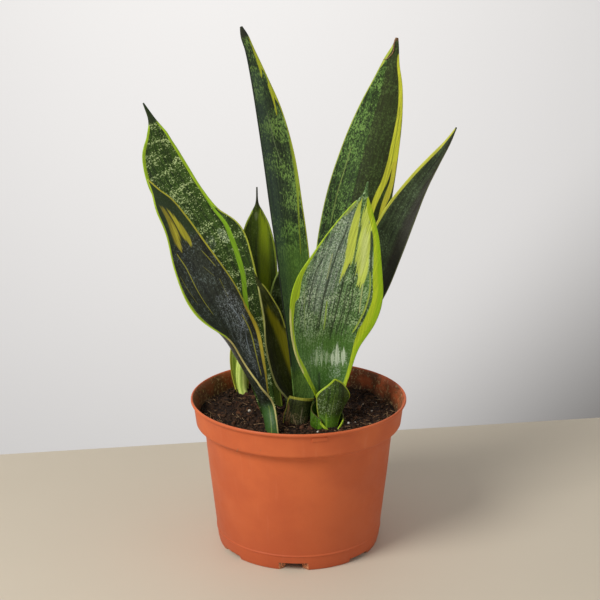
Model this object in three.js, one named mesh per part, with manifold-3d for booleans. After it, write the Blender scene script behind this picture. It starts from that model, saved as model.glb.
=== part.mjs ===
// A potted snake plant: nine sword-shaped leaves, two short cut leaf sheaths and a
// wrapping one, and a young side shoot, growing from peat soil in a plastic nursery pot.
// Millimetres, +Z up. The origin is on the floor, at the middle of the whole plant.
// +X is to the right and -Y towards the viewer of the plant's front.

import * as THREE from 'three';
import { mergeVertices } from 'three/addons/utils/BufferGeometryUtils.js';
import Module from 'manifold-3d';

const wasm = await Module();
wasm.setup();

// ---------------------------------------------------------------- driving dimensions

const CLEARANCE = 0.35;          // gap between pieces that rest on or in each other

// Pot. The middle of the pot stands on the origin.
const POT_HEIGHT = 106;
const POT_SEGMENTS = 56;         // a multiple of the number of foot notches
const WALL_OUTSIDE = [           // radius, height, from the foot up to the rim
  [54.6, 0], [56.6, 1.2], [57.4, 4.4],
  [58.0, 10.3], [58.45, 10.8], [58.45, 11.4], [58.15, 11.9],
  [60.3, 32], [62.8, 55], [65.4, 82.9],
  [66.3, 85.6], [68.9, 87.1], [71.1, 88.3], [71.6, 89.9],
  [72.2, 95], [73.1, 102.2], [73.6, 103.4], [75, 104.3], [75, 105.5],
];
const RIM_TOP = [[74.6, POT_HEIGHT], [73.9, POT_HEIGHT]];
const BAND = [WALL_OUTSIDE.length - 5, WALL_OUTSIDE.length - 2];   // the plain slope of the rim band
const WALL_INSIDE = [            // from the rim down to the floor
  [73.5, 105.4], [71.8, 101.6], [70.9, 95], [70.25, 90.9], [69.4, 89.2],
  [65.2, 86.6], [64.1, 83.4], [61.4, 55], [59.0, 32], [56.8, 10.4],
];
const FLOOR_TOP = 7.4;
const FLOOR_UNDERSIDE = 6.2;
const FOOT_INNER_RADIUS = 49.5;

const NOTCH_COUNT = 7;           // drainage notches in the foot
const NOTCH_FIRST_ANGLE = -3.5;  // degrees from the front, towards +X
const NOTCH_OUTER_WIDTH = 25;
const NOTCH_INNER_WIDTH = 12;
const NOTCH_HEIGHT = 5.8;        // of the front notch
const NOTCH_LOW_HEIGHT = 2.8;    // of the others
const NOTCH_TOP_TAPER = 0.85;    // width at the top of the notch, as a share of the bottom
const DRAIN_HOLE_RADIUS = 4;
const DRAIN_HOLE_RING = 38;

const TAB_ANGLE = 11;            // small blank raised tab on the band, degrees from the front
const TAB_WIDTH = 10.4;
const TAB_LOW = 99.8;
const TAB_HIGH = 102.9;
const TAB_RAISED = 0.4;

// Soil.
const SOIL_LEVEL = 91;
const SOIL_SEGMENTS = 42;
const SOIL_RINGS = [14, 27, 39, 50, 59, 65];
const SOIL_EDGE = 69;            // about the radius of its edge

// Blades. A blade is described by stations along its middle line:
//   x, y, z of the middle line; width to the left and to the right of it, measured along
//   the blade's surface; the direction that the blade's face looks in, in degrees from the
//   front towards +X; and the angle that each half curls towards the face.
// A blade's face is its upper side, the hollow one.
const MARGIN_THICKNESS = 0.9;
const BLADES = {
  leaf_far_left: {
    stations: [
      [-14, -3, 72, 5, 5, 12, 60], [-22, 0, 98, 6.5, 6.5, 12, 55],
      [-31, 4, 135, 11, 11, 14, 42], [-40, 7, 168, 16, 15.5, 15, 32],
      [-49, 9, 194, 19.5, 19.5, 17, 26], [-57.5, 11, 213, 22.5, 21.5, 18, 24],
      [-67, 13, 228, 23, 14.8, 18, 24], [-76, 14, 243, 20.5, 12.5, 18, 24],
      [-86, 15, 259, 19, 12.8, 17, 24], [-93, 15, 274, 14.2, 11.5, 16, 24],
      [-96, 15, 286, 6.6, 8, 12, 20], [-98.6, 15, 296, 2.2, 3, 6, 8],
      [-103.5, 14, 307.5, 0.5, 0.5, 0, 0],
    ],
    thickness: [3.2, 1.6], along: 26, across: 6, colour: 0x4f7a3a,
  },
  leaf_front_left: {
    stations: [
      [-20.3, -35, 68, 7, 7, 120, 70], [-20, -36, 90, 8, 8, 118, 75],
      [-24, -26.5, 108, 10, 12, 110, 79], [-32, -27.5, 127, 12.5, 19, 93, 67],
      [-42, -29.5, 147, 14, 29, 91, 60], [-50.5, -32, 168, 24.5, 24, 72, 55],
      [-60, -35, 190, 24, 20.5, 51, 32], [-70.5, -35.5, 213, 17.5, 15.5, 42, 30],
      [-79, -37, 233, 10, 11.5, 42, 26], [-85.5, -38.5, 248, 8, 7.5, 38, 22],
      [-91, -40, 258, 3.2, 3.2, 20, 12], [-96, -40, 266.2, 0.5, 0.5, 0, 0],
    ],
    thickness: [3.2, 1.6], along: 26, across: 8, colour: 0x2f3b30,
  },
  leaf_back_left: {
    stations: [
      [-14, 17, 72, 5, 5, 10, 55], [-18, 21, 100, 6, 6, 10, 50],
      [-23, 27, 132, 7, 7, 9, 40], [-27, 31, 160, 9, 11, 9, 34],
      [-29, 33, 184, 13.5, 14.5, 9, 30], [-29.5, 34, 206, 12.5, 13, 10, 28],
      [-29, 33.5, 220, 9, 9, 10, 24], [-28.8, 33, 229, 4.5, 4.5, 8, 16],
      [-28.8, 32, 236, 1.1, 1.1, 0, 4], [-28.8, 32, 247, 0.5, 0.5, 0, 0],
    ],
    thickness: [2.8, 1.4], along: 20, across: 6, colour: 0x4a5a24,
  },
  leaf_tall_left: {
    stations: [
      [3, -6, 70, 7, 7, 14, 60], [3.5, -4, 100, 9, 7.5, 16, 50],
      [1.5, 1, 135, 10, 10, 20, 40], [-1.5, 6.5, 170, 12, 11.5, 22, 34],
      [-5, 9.5, 205, 12.5, 12.5, 23, 30], [-9.5, 12, 238, 12.5, 12.5, 23, 30],
      [-14, 13, 270, 12, 12, 24, 28], [-19.5, 11, 300, 10.2, 9.4, 24, 26],
      [-26, 8, 325, 6.7, 5.5, 24, 24], [-31.5, 6, 343, 4, 3, 26, 20],
      [-35, 4, 352, 2.8, 2.6, 20, 16], [-37.2, 3, 358.5, 0.9, 0.9, 10, 4],
    ],
    thickness: [3.4, 1.8], along: 24, across: 6, colour: 0x3c5a44,
  },
  leaf_tall_right: {
    stations: [
      [18, 13, 70, 8, 8, 172, 60], [21, 17, 102, 10, 10, 172, 55],
      [24.5, 22, 135, 16, 16, 173, 45], [29, 28, 168, 21.5, 21, 171, 38],
      [34, 34, 201, 24.5, 24, 170, 34], [41, 38, 236, 24.2, 24.5, 168, 32],
      [48.3, 39.5, 268, 21.2, 21.5, 166, 30], [55.3, 38, 295, 16.4, 17.4, 164, 28],
      [60.2, 35, 316, 11, 12, 162, 26], [63, 32, 332, 5.4, 7, 160, 22],
      [65, 30, 343, 2.5, 2.5, 164, 12], [66, 30, 349, 0.9, 0.9, 170, 4],
    ],
    thickness: [3.2, 1.7], along: 24, across: 6, colour: 0x33543a,
  },
  leaf_front_right: {
    stations: [
      [20, -12, 70, 7.5, 7.5, 14, 70], [20.5, -11, 100, 8.5, 8.5, 14, 62],
      [20, -8, 125, 19.5, 16, 14, 42], [19.5, -8, 148, 26.5, 24, 12, 28],
      [23, -11, 170, 31, 31, 10, 18], [27, -13, 188, 31, 31, 10, 14],
      [32, -13, 207, 24, 25, 10, 14], [37.5, -12, 226, 16, 17, 9, 14],
      [42, -11.5, 241.5, 8, 7.5, 6, 12], [44.2, -12, 250.5, 2, 2, 0, 4],
      [45.6, -12, 259.4, 0.5, 0.5, 0, 0],
    ],
    thickness: [3.0, 1.5], along: 24, across: 8, colour: 0x46703f,
  },
  leaf_right: {
    stations: [
      [24, 1.5, 72, 6, 6, -14, 60], [26.5, 3, 104, 6.5, 6.5, -16, 50],
      [31.5, 6, 133, 7.5, 7.5, -20, 40], [39.5, 9.5, 158, 10, 10, -24, 34],
      [50.5, 12, 183, 13, 13.5, -25, 28], [59, 13.5, 207, 13.5, 14, -22, 26],
      [69, 14, 231, 11.3, 12, -18, 24], [80.5, 13, 252, 8, 7.7, -16, 22],
      [91, 12, 268, 5.2, 4.4, -14, 18], [99.5, 12, 281, 2.2, 2.4, -8, 8],
      [105.6, 12, 291.5, 0.5, 0.5, 0, 0],
    ],
    thickness: [3.2, 1.6], along: 22, across: 6, colour: 0x2f4433,
  },
  leaf_centre: {
    stations: [
      [0, 4, 72, 5, 5, 24, 60], [-1, 3, 98, 6, 6, 28, 52],
      [-10, 2, 120, 12, 8, 30, 44], [-15, 3, 143, 13, 9, 33, 38],
      [-17.8, 4, 161, 9.5, 7, 32, 34], [-21.3, 4, 173, 6.3, 4.5, 30, 26],
      [-24.6, 4, 181.5, 3.4, 2.6, 18, 16], [-27.8, 4, 187, 1.2, 1.2, 4, 6],
      [-29.9, 4, 192, 0.5, 0.5, 0, 0],
    ],
    thickness: [2.8, 1.4], along: 18, across: 6, colour: 0x3b4420,
  },
  leaf_back_centre: {
    stations: [
      [-1, 17, 72, 5, 5, 4, 50], [-5, 20, 100, 6, 6, 4, 45],
      [-11, 23, 130, 8, 8, 6, 36], [-13, 25, 156, 9.5, 8.5, 6, 30],
      [-10.5, 25.5, 178, 8.5, 7.5, 6, 26], [-5.5, 25, 195, 4.6, 4.6, 4, 18],
      [-2, 25, 205, 1.6, 1.6, 0, 6], [0, 25, 212, 0.5, 0.5, 0, 0],
    ],
    thickness: [2.6, 1.4], along: 16, across: 6, colour: 0x2c3a2a,
  },
  sheath_centre: {
    stations: [
      [-2, -16, 72, 8, 8, 190, 60], [-1.5, -16, 91, 10, 10, 190, 58],
      [0.5, -16, 100, 10.2, 10, 188, 54], [1.2, -16, 105.2, 9.4, 9.7, 188, 46],
      [1.9, -15.6, 109.5, 10.4, 8.5, 186, 38],
    ],
    thickness: [2.0, 1.2], along: 8, across: 8, colour: 0x35452a,
  },
  sheath_right: {
    stations: [
      [21.8, -24, 72, 8, 8, 200, 68], [21.8, -25, 90, 8.5, 8.5, 200, 68],
      [22.3, -24.8, 98, 10.5, 9.5, 200, 62], [23.2, -24, 106, 13.5, 11.5, 199, 54],
      [24.5, -23, 113.5, 15, 12.5, 198, 44], [25, -22, 120, 8, 7, 196, 30],
      [24.7, -22, 125.5, 0.8, 0.8, 190, 4],
    ],
    thickness: [2.0, 1.2], along: 12, across: 8, colour: 0x4e7a38,
  },
  sheath_right_outer: {
    stations: [
      [16, -7.2, 80, 32, 32, 20, 167], [16, -7.2, 86, 32, 32, 20, 167],
      [16, -7.2, 91, 31.5, 31, 20, 163], [16, -7.2, 95, 27.5, 25, 20, 137],
      [16, -7.2, 99, 25, 16, 20, 107], [16, -7.2, 103, 12, 9, 20, 55],
      [16, -7.2, 106, 4, 4.5, 20, 22],
    ],
    thickness: [1.8, 1.2], along: 12, across: 14, colour: 0x3f6a30,
  },
  pup_leaf_outer: {
    stations: [
      [-34.5, 43.5, 76, 4, 4, 18, 60], [-41.8, 49.6, 92, 5.5, 5.5, 18, 56],
      [-43, 51.2, 104, 7.6, 7.6, 16, 46], [-43, 50.5, 118, 8.5, 8.5, 14, 38],
      [-42, 49, 132, 7, 7, 10, 30], [-40.5, 47.5, 143, 4.3, 4.3, 4, 20],
      [-39.3, 46.5, 151, 1.6, 1.6, 0, 8], [-38.6, 46, 157, 0.5, 0.5, 0, 0],
    ],
    thickness: [2.2, 1.2], along: 16, across: 6, colour: 0x7fa83a,
  },
  pup_leaf_inner: {
    stations: [
      [-34, 36.5, 78, 3.2, 3.2, 188, 80], [-40.4, 42.8, 92, 4, 4, 188, 80],
      [-41.5, 44.5, 104, 5.2, 5.2, 188, 76], [-40, 43.5, 118, 5.5, 5.5, 188, 66],
      [-39.5, 42, 130, 4.2, 4.2, 188, 50], [-39, 41, 139, 2.2, 2.2, 188, 26],
      [-38.6, 40.5, 146, 0.5, 0.5, 188, 0],
    ],
    thickness: [1.8, 1.1], along: 14, across: 6, colour: 0x9ccc4a,
  },
};
const POT_COLOUR = 0xc8603a;
const SOIL_COLOUR = 0x3a2a20;

// ---------------------------------------------------------------- small helpers

const DEG = Math.PI / 180;

/** A closed indexed geometry from a list of points and a list of triangles. */
function solidGeometry(points, triangles) {
  const geometry = new THREE.BufferGeometry();
  geometry.setAttribute('position', new THREE.Float32BufferAttribute(points.flat(), 3));
  geometry.setIndex(triangles.flat());
  return geometry;
}

/** A closed geometry as a solid that can be cut and joined. */
function toSolid(geometry) {
  const bare = geometry.clone();
  bare.deleteAttribute('normal');
  bare.deleteAttribute('uv');
  const merged = mergeVertices(bare, 1e-4);
  return new wasm.Manifold(new wasm.Mesh({
    numProp: 3,
    vertProperties: new Float32Array(merged.attributes.position.array),
    triVerts: new Uint32Array(merged.index.array),
  }));
}

/** The cut solid as a geometry again. */
function toGeometry(solid) {
  const mesh = solid.getMesh();
  const geometry = new THREE.BufferGeometry();
  geometry.setAttribute('position', new THREE.Float32BufferAttribute(mesh.vertProperties, 3));
  geometry.setIndex(Array.from(mesh.triVerts));
  return geometry;
}

/** The largest single body of a solid; crumbs that a cut leaves loose are dropped. */
function largestBody(solid) {
  return solid.decompose().reduce((a, b) => (b.volume() > a.volume() ? b : a));
}

/** Turns a [radius, height] profile about the vertical axis. The profile closes on itself
 *  or starts and ends on the axis. */
function lathe(profile, segments) {
  const geometry = new THREE.LatheGeometry(profile.map(([r, z]) => new THREE.Vector2(r, z)), segments);
  geometry.rotateX(Math.PI / 2);
  return geometry;
}

/** A [x, y] outline raised from z0 to z1, as wide at the top as `taper` times the bottom. */
function prism(outline, z0, z1, taper = 1) {
  const n = outline.length;
  const points = [
    ...outline.map(([x, y]) => [x, y, z0]),
    ...outline.map(([x, y]) => [x * taper, y, z1]),
  ];
  const triangles = [];
  for (let i = 1; i < n - 1; i++) {
    triangles.push([0, i + 1, i], [n, n + i, n + i + 1]);
  }
  for (let i = 0; i < n; i++) {
    const j = (i + 1) % n;
    triangles.push([i, j, n + j], [i, n + j, n + i]);
  }
  return solidGeometry(points, triangles);
}

/** Straight interpolation of y over a list of [x, y] with x rising. */
function along(list, x) {
  if (x <= list[0][0]) return list[0][1];
  for (let i = 1; i < list.length; i++) {
    if (x <= list[i][0]) {
      const [x0, y0] = list[i - 1];
      const [x1, y1] = list[i];
      return y0 + (y1 - y0) * (x - x0) / (x1 - x0);
    }
  }
  return list[list.length - 1][1];
}

// ---------------------------------------------------------------- the pot

function makePot() {
  const profile = [
    [0, FLOOR_UNDERSIDE], [FOOT_INNER_RADIUS - 1.2, FLOOR_UNDERSIDE], [FOOT_INNER_RADIUS, 0],
    ...WALL_OUTSIDE, ...RIM_TOP, ...WALL_INSIDE, [53.6, FLOOR_TOP], [0, FLOOR_TOP],
  ];
  let pot = toSolid(lathe(profile, POT_SEGMENTS));

  for (let i = 0; i < NOTCH_COUNT; i++) {
    const angle = (NOTCH_FIRST_ANGLE + i * 360 / NOTCH_COUNT) * DEG;
    // the notch narrows inwards to a short passage through the foot ring
    const wide = NOTCH_OUTER_WIDTH / 2;
    const narrow = NOTCH_INNER_WIDTH / 2;
    const notch = prism([
      [-wide - 1, -62], [wide + 1, -62], [wide, -57.5], [narrow, -51.5], [narrow, -44],
      [-narrow, -44], [-narrow, -51.5], [-wide, -57.5],
    ], -1, i ? NOTCH_LOW_HEIGHT : NOTCH_HEIGHT, NOTCH_TOP_TAPER);
    notch.rotateZ(angle);
    pot = pot.subtract(toSolid(notch));

    const hole = new THREE.CylinderGeometry(DRAIN_HOLE_RADIUS, DRAIN_HOLE_RADIUS, 6, 12);
    hole.rotateX(Math.PI / 2);
    hole.translate(0, -DRAIN_HOLE_RING, FLOOR_TOP - 1);
    hole.rotateZ(angle);
    pot = pot.subtract(toSolid(hole));
  }

  // the small blank tab lies on the slope of the band
  const slope = WALL_OUTSIDE.slice(...BAND).map(([r, z]) => [z, r]);
  const low = along(slope, TAB_LOW);
  const high = along(slope, TAB_HIGH);
  const half = TAB_WIDTH / 2;
  const tabDepth = 1;            // how far it reaches back into the wall at its middle
  const tab = solidGeometry([
    [-half, -(low + TAB_RAISED), TAB_LOW], [half, -(low + TAB_RAISED), TAB_LOW],
    [half, -(low - tabDepth), TAB_LOW], [-half, -(low - tabDepth), TAB_LOW],
    [-half, -(high + TAB_RAISED), TAB_HIGH], [half, -(high + TAB_RAISED), TAB_HIGH],
    [half, -(high - tabDepth), TAB_HIGH], [-half, -(high - tabDepth), TAB_HIGH],
  ], [
    [0, 2, 1], [0, 3, 2], [4, 5, 6], [4, 6, 7],
    [0, 1, 5], [0, 5, 4], [1, 2, 6], [1, 6, 5], [2, 3, 7], [2, 7, 6], [3, 0, 4], [3, 4, 7],
  ]);
  tab.rotateZ(TAB_ANGLE * DEG);
  return toGeometry(pot.add(toSolid(tab)));
}

// ---------------------------------------------------------------- the blades

/** The station at `u` (0 base, 1 tip) on a smooth curve through the blade's stations,
 *  and the direction in which the middle line runs there. */
function stationAt(stations, u) {
  const last = stations.length - 1;
  const i = Math.min(Math.floor(u * last), last - 1);
  const t = u * last - i;
  const at = (k) => stations[Math.min(Math.max(k, 0), last)];
  const p1 = at(i);
  const p2 = at(i + 1);
  const p0 = i === 0 ? p1.map((v, k) => 2 * v - p2[k]) : at(i - 1);
  const p3 = i === last - 1 ? p2.map((v, k) => 2 * v - p1[k]) : at(i + 2);
  const value = p1.map((_, k) => 0.5 * (2 * p1[k] + (p2[k] - p0[k]) * t
    + (2 * p0[k] - 5 * p1[k] + 4 * p2[k] - p3[k]) * t * t
    + (3 * p1[k] - p0[k] - 3 * p2[k] + p3[k]) * t * t * t));
  const slope = [0, 1, 2].map((k) => 0.5 * ((p2[k] - p0[k])
    + 2 * (2 * p0[k] - 5 * p1[k] + 4 * p2[k] - p3[k]) * t
    + 3 * (3 * p1[k] - p0[k] - 3 * p2[k] + p3[k]) * t * t));
  return { value, direction: new THREE.Vector3(...slope).normalize() };
}

/** A point of a blade's middle surface and the direction out of its face there. `v` runs
 *  from -1 at the left margin to 1 at the right one. */
function bladePoint(stations, u, v, grow = 0) {
  const { value, direction } = stationAt(stations, u);
  const [x, y, z, left, right, facing, curl] = value;
  const face = new THREE.Vector3(Math.sin(facing * DEG), -Math.cos(facing * DEG), 0);
  face.addScaledVector(direction, -face.dot(direction)).normalize();
  const side = new THREE.Vector3().crossVectors(direction, face);
  const half = Math.max(v < 0 ? left : right, 0.4);
  const meanHalf = Math.max((left + right) / 2, 0.4);
  const turnRate = Math.max(curl, 0) * DEG / meanHalf + 1e-7;   // radians per mm of width
  const reach = half * Math.abs(v) + (Math.abs(v) > 0.999 ? grow : 0);
  const turn = turnRate * reach;
  const sign = v < 0 ? -1 : 1;
  const point = new THREE.Vector3(x, y, z)
    .addScaledVector(side, sign * Math.sin(turn) / turnRate)
    .addScaledVector(face, (1 - Math.cos(turn)) / turnRate);
  const out = face.clone().multiplyScalar(Math.cos(turn))
    .addScaledVector(side, -sign * Math.sin(turn));
  return { point, out, direction };
}

/** A blade as a closed solid. `grow` swells it all round, for the hole that it stands in,
 *  and `upTo` stops it at that share of its length. */
function makeBlade({ stations, thickness, along: rows, across }, grow = 0, upTo = 1) {
  const points = [];
  const used = Math.ceil(rows * upTo);
  for (let i = 0; i <= used; i++) {
    const u = i / rows;
    const middle = thickness[0] + (thickness[1] - thickness[0]) * u;
    for (const sideOfBlade of [1, -1]) {
      for (let j = 0; j <= across; j++) {
        const v = -1 + 2 * j / across;
        const { point, out, direction } = bladePoint(stations, u, v, grow);
        const depth = MARGIN_THICKNESS + (middle - MARGIN_THICKNESS) * (1 - v * v);
        point.addScaledVector(out, sideOfBlade * (depth / 2 + grow));
        if (i === 0) point.addScaledVector(direction, -grow);
        points.push(point.toArray());
      }
    }
  }
  const width = across + 1;
  const face = (i, j) => i * 2 * width + j;
  const back = (i, j) => i * 2 * width + width + j;
  const triangles = [];
  for (let i = 0; i < used; i++) {
    for (let j = 0; j < across; j++) {
      triangles.push([face(i, j), face(i, j + 1), face(i + 1, j + 1)]);
      triangles.push([face(i, j), face(i + 1, j + 1), face(i + 1, j)]);
      triangles.push([back(i, j), back(i + 1, j + 1), back(i, j + 1)]);
      triangles.push([back(i, j), back(i + 1, j), back(i + 1, j + 1)]);
    }
    triangles.push([face(i, 0), face(i + 1, 0), back(i + 1, 0)], [face(i, 0), back(i + 1, 0), back(i, 0)]);
    triangles.push([face(i, across), back(i + 1, across), face(i + 1, across)],
      [face(i, across), back(i, across), back(i + 1, across)]);
  }
  for (let j = 0; j < across; j++) {
    triangles.push([face(0, j), back(0, j + 1), face(0, j + 1)], [face(0, j), back(0, j), back(0, j + 1)]);
    triangles.push([face(used, j), face(used, j + 1), back(used, j + 1)],
      [face(used, j), back(used, j + 1), back(used, j)]);
  }
  return solidGeometry(points, triangles);
}

// ---------------------------------------------------------------- the soil

/** Height of the soil at a point: a little higher at the back left, with low humps. */
function soilHeight(x, y) {
  const tilt = -0.016 * x + 0.012 * y;
  const humps = 0.9 * Math.sin(x * 0.13 + 1.1) * Math.cos(y * 0.11 - 0.4)
    + 0.7 * Math.sin(x * 0.05 - y * 0.21 + 2.2);
  return SOIL_LEVEL + tilt + humps;
}

function makeSoil() {
  const inside = [...WALL_INSIDE].reverse().map(([r, z]) => [z, r]);
  const wall = [[FLOOR_TOP + CLEARANCE, 53], [10.4, 0], [32, 0], [55, 0], [83.4, 0], [86.6, 0]]
    .map(([z, r]) => [r || along(inside, z) - CLEARANCE, z]);
  const points = [[0, 0, FLOOR_TOP + CLEARANCE]];
  const rings = [];
  const ring = (radius, height) => {
    const first = points.length;
    for (let k = 0; k < SOIL_SEGMENTS; k++) {
      const angle = 2 * Math.PI * k / SOIL_SEGMENTS;
      const x = radius * Math.cos(angle);
      const y = radius * Math.sin(angle);
      points.push([x, y, typeof height === 'number' ? height : height(x, y)]);
    }
    rings.push(first);
  };
  // near its edge the soil follows the step of the wall, up to the height that it has there
  const wallTop = wall[wall.length - 1][1];
  const edgeRing = (share) => {
    const first = points.length;
    for (let k = 0; k < SOIL_SEGMENTS; k++) {
      const angle = 2 * Math.PI * k / SOIL_SEGMENTS;
      const c = Math.cos(angle);
      const s = Math.sin(angle);
      const z = wallTop + (soilHeight(SOIL_EDGE * c, SOIL_EDGE * s) - wallTop) * share;
      const r = along(inside, z) - CLEARANCE - 0.25;
      points.push([r * c, r * s, z]);
    }
    rings.push(first);
  };
  for (const [r, z] of wall) ring(r, z);
  edgeRing(0.5);
  edgeRing(1);
  for (const r of [...SOIL_RINGS].reverse()) ring(r, soilHeight);
  points.push([0, 0, soilHeight(0, 0)]);
  const triangles = [];
  for (let k = 0; k < SOIL_SEGMENTS; k++) {
    const n = (k + 1) % SOIL_SEGMENTS;
    triangles.push([0, rings[0] + n, rings[0] + k]);
    for (let i = 0; i + 1 < rings.length; i++) {
      triangles.push([rings[i] + k, rings[i] + n, rings[i + 1] + n]);
      triangles.push([rings[i] + k, rings[i + 1] + n, rings[i + 1] + k]);
    }
    triangles.push([points.length - 1, rings[rings.length - 1] + k, rings[rings.length - 1] + n]);
  }
  let soil = toSolid(solidGeometry(points, triangles));
  for (const blade of Object.values(BLADES)) {
    const last = blade.stations.length - 1;
    const above = blade.stations.findIndex((s) => s[2] > SOIL_LEVEL + 6);
    soil = soil.subtract(toSolid(makeBlade(blade, CLEARANCE, above / last)));
  }
  return toGeometry(largestBody(soil));
}

// ---------------------------------------------------------------- the plant in its pot

const plant = new THREE.Group();

function addPiece(name, geometry, colour, roughness) {
  geometry.computeVertexNormals();
  const material = new THREE.MeshStandardMaterial({ color: colour, roughness, metalness: 0 });
  const mesh = new THREE.Mesh(geometry, material);
  mesh.name = name;
  plant.add(mesh);
}

addPiece('pot', makePot(), POT_COLOUR, 0.55);
addPiece('potting_soil', makeSoil(), SOIL_COLOUR, 0.95);
for (const [name, blade] of Object.entries(BLADES)) {
  addPiece(name, makeBlade(blade), blade.colour, 0.45);
}

export default plant;
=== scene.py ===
# %% [markdown]
# # A potted snake plant
# The packed CAD model is the frame: it fixes where the pot, the soil and each leaf are. This
# lesson puts a finer piece in the place of each plain one, adds the loose bits on the soil and
# gives each piece a finish made of nodes. Everything is in metres; the tables below are in
# millimetres, as a maker measures a plant.

import math

import bmesh
import bpy
import numpy as np
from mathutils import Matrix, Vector, noise


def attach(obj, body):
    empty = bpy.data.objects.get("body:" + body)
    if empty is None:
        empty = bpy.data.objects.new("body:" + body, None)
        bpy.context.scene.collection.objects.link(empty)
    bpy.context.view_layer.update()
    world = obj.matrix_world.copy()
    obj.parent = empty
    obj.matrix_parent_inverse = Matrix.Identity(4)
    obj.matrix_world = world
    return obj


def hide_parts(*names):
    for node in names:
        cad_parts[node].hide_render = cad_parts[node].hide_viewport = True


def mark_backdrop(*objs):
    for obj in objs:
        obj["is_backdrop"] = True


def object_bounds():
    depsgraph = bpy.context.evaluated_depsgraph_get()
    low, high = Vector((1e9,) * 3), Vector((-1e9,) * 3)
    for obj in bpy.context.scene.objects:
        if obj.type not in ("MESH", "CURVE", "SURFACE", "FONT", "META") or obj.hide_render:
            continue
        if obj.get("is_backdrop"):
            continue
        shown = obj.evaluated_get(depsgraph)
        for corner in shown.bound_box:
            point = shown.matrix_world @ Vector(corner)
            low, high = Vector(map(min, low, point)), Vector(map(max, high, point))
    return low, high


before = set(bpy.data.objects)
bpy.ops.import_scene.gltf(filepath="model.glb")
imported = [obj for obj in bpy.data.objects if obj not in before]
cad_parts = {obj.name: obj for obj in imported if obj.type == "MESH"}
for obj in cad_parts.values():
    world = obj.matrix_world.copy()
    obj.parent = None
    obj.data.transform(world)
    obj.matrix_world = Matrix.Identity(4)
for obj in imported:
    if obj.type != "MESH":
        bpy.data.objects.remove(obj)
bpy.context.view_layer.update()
MM = 0.001

# %% [markdown]
# ## The camera
# The photograph looks down at the plant by sixteen degrees through a short telephoto lens.
# A camera in Blender looks along its own -Z, so turning it by 90 - 16 degrees about X tips it
# down by the same amount.

# %% Camera
TIP_DOWN = 16  # degrees
camera_data = bpy.data.cameras.new("plant_camera")
camera_data.sensor_width = 36
camera_data.lens = 82.2
camera = bpy.data.objects.new("plant_camera", camera_data)
camera.location = (0.001, -0.900, 0.433)
camera.rotation_euler = (math.radians(90 - TIP_DOWN), 0, 0)
bpy.context.scene.collection.objects.link(camera)
bpy.context.scene.camera = camera
print("camera lens", camera_data.lens, "mm")

# %% [markdown]
# ## Calls for wiring a finish
# Every finish here is a net of nodes, and most nets need the same few steps: read where a
# point is, make a noise, turn it into a mask, mix two colours. Wrapping each step in a short
# call keeps the nets readable, and a colour is given as it looks on screen.


# %% Tones
def seen(red, green, blue):
    """A colour as it looks on screen, 0 to 255, as the linear light that nodes count in."""
    parts = [c / 255 for c in (red, green, blue)]
    return (*[c / 12.92 if c <= 0.04045 else ((c + 0.055) / 1.055) ** 2.4 for c in parts], 1)


print("half grey on screen is", round(seen(128, 128, 128)[0], 3), "as linear light")


# %% Trees of nodes
class Net:
    """A tree of nodes, for a finish or for geometry, and the calls that wire it."""

    def __init__(self, tree):
        self.tree = tree

    def node(self, kind, inputs=(), **settings):
        """A new node with its settings, then its inputs: values, or outputs of other nodes."""
        made = self.tree.nodes.new(kind)
        for key, value in settings.items():
            setattr(made, key, value)
        for key, value in dict(inputs).items():
            self.put(made.inputs[key], value)
        return made

    def put(self, socket, value):
        """Links an output to the socket, or sets the socket to a value."""
        if isinstance(value, bpy.types.NodeSocket):
            self.tree.links.new(value, socket)
        else:
            socket.default_value = value


print("tree calls:", [name for name in vars(Net) if name[0] != "_"])


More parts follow.
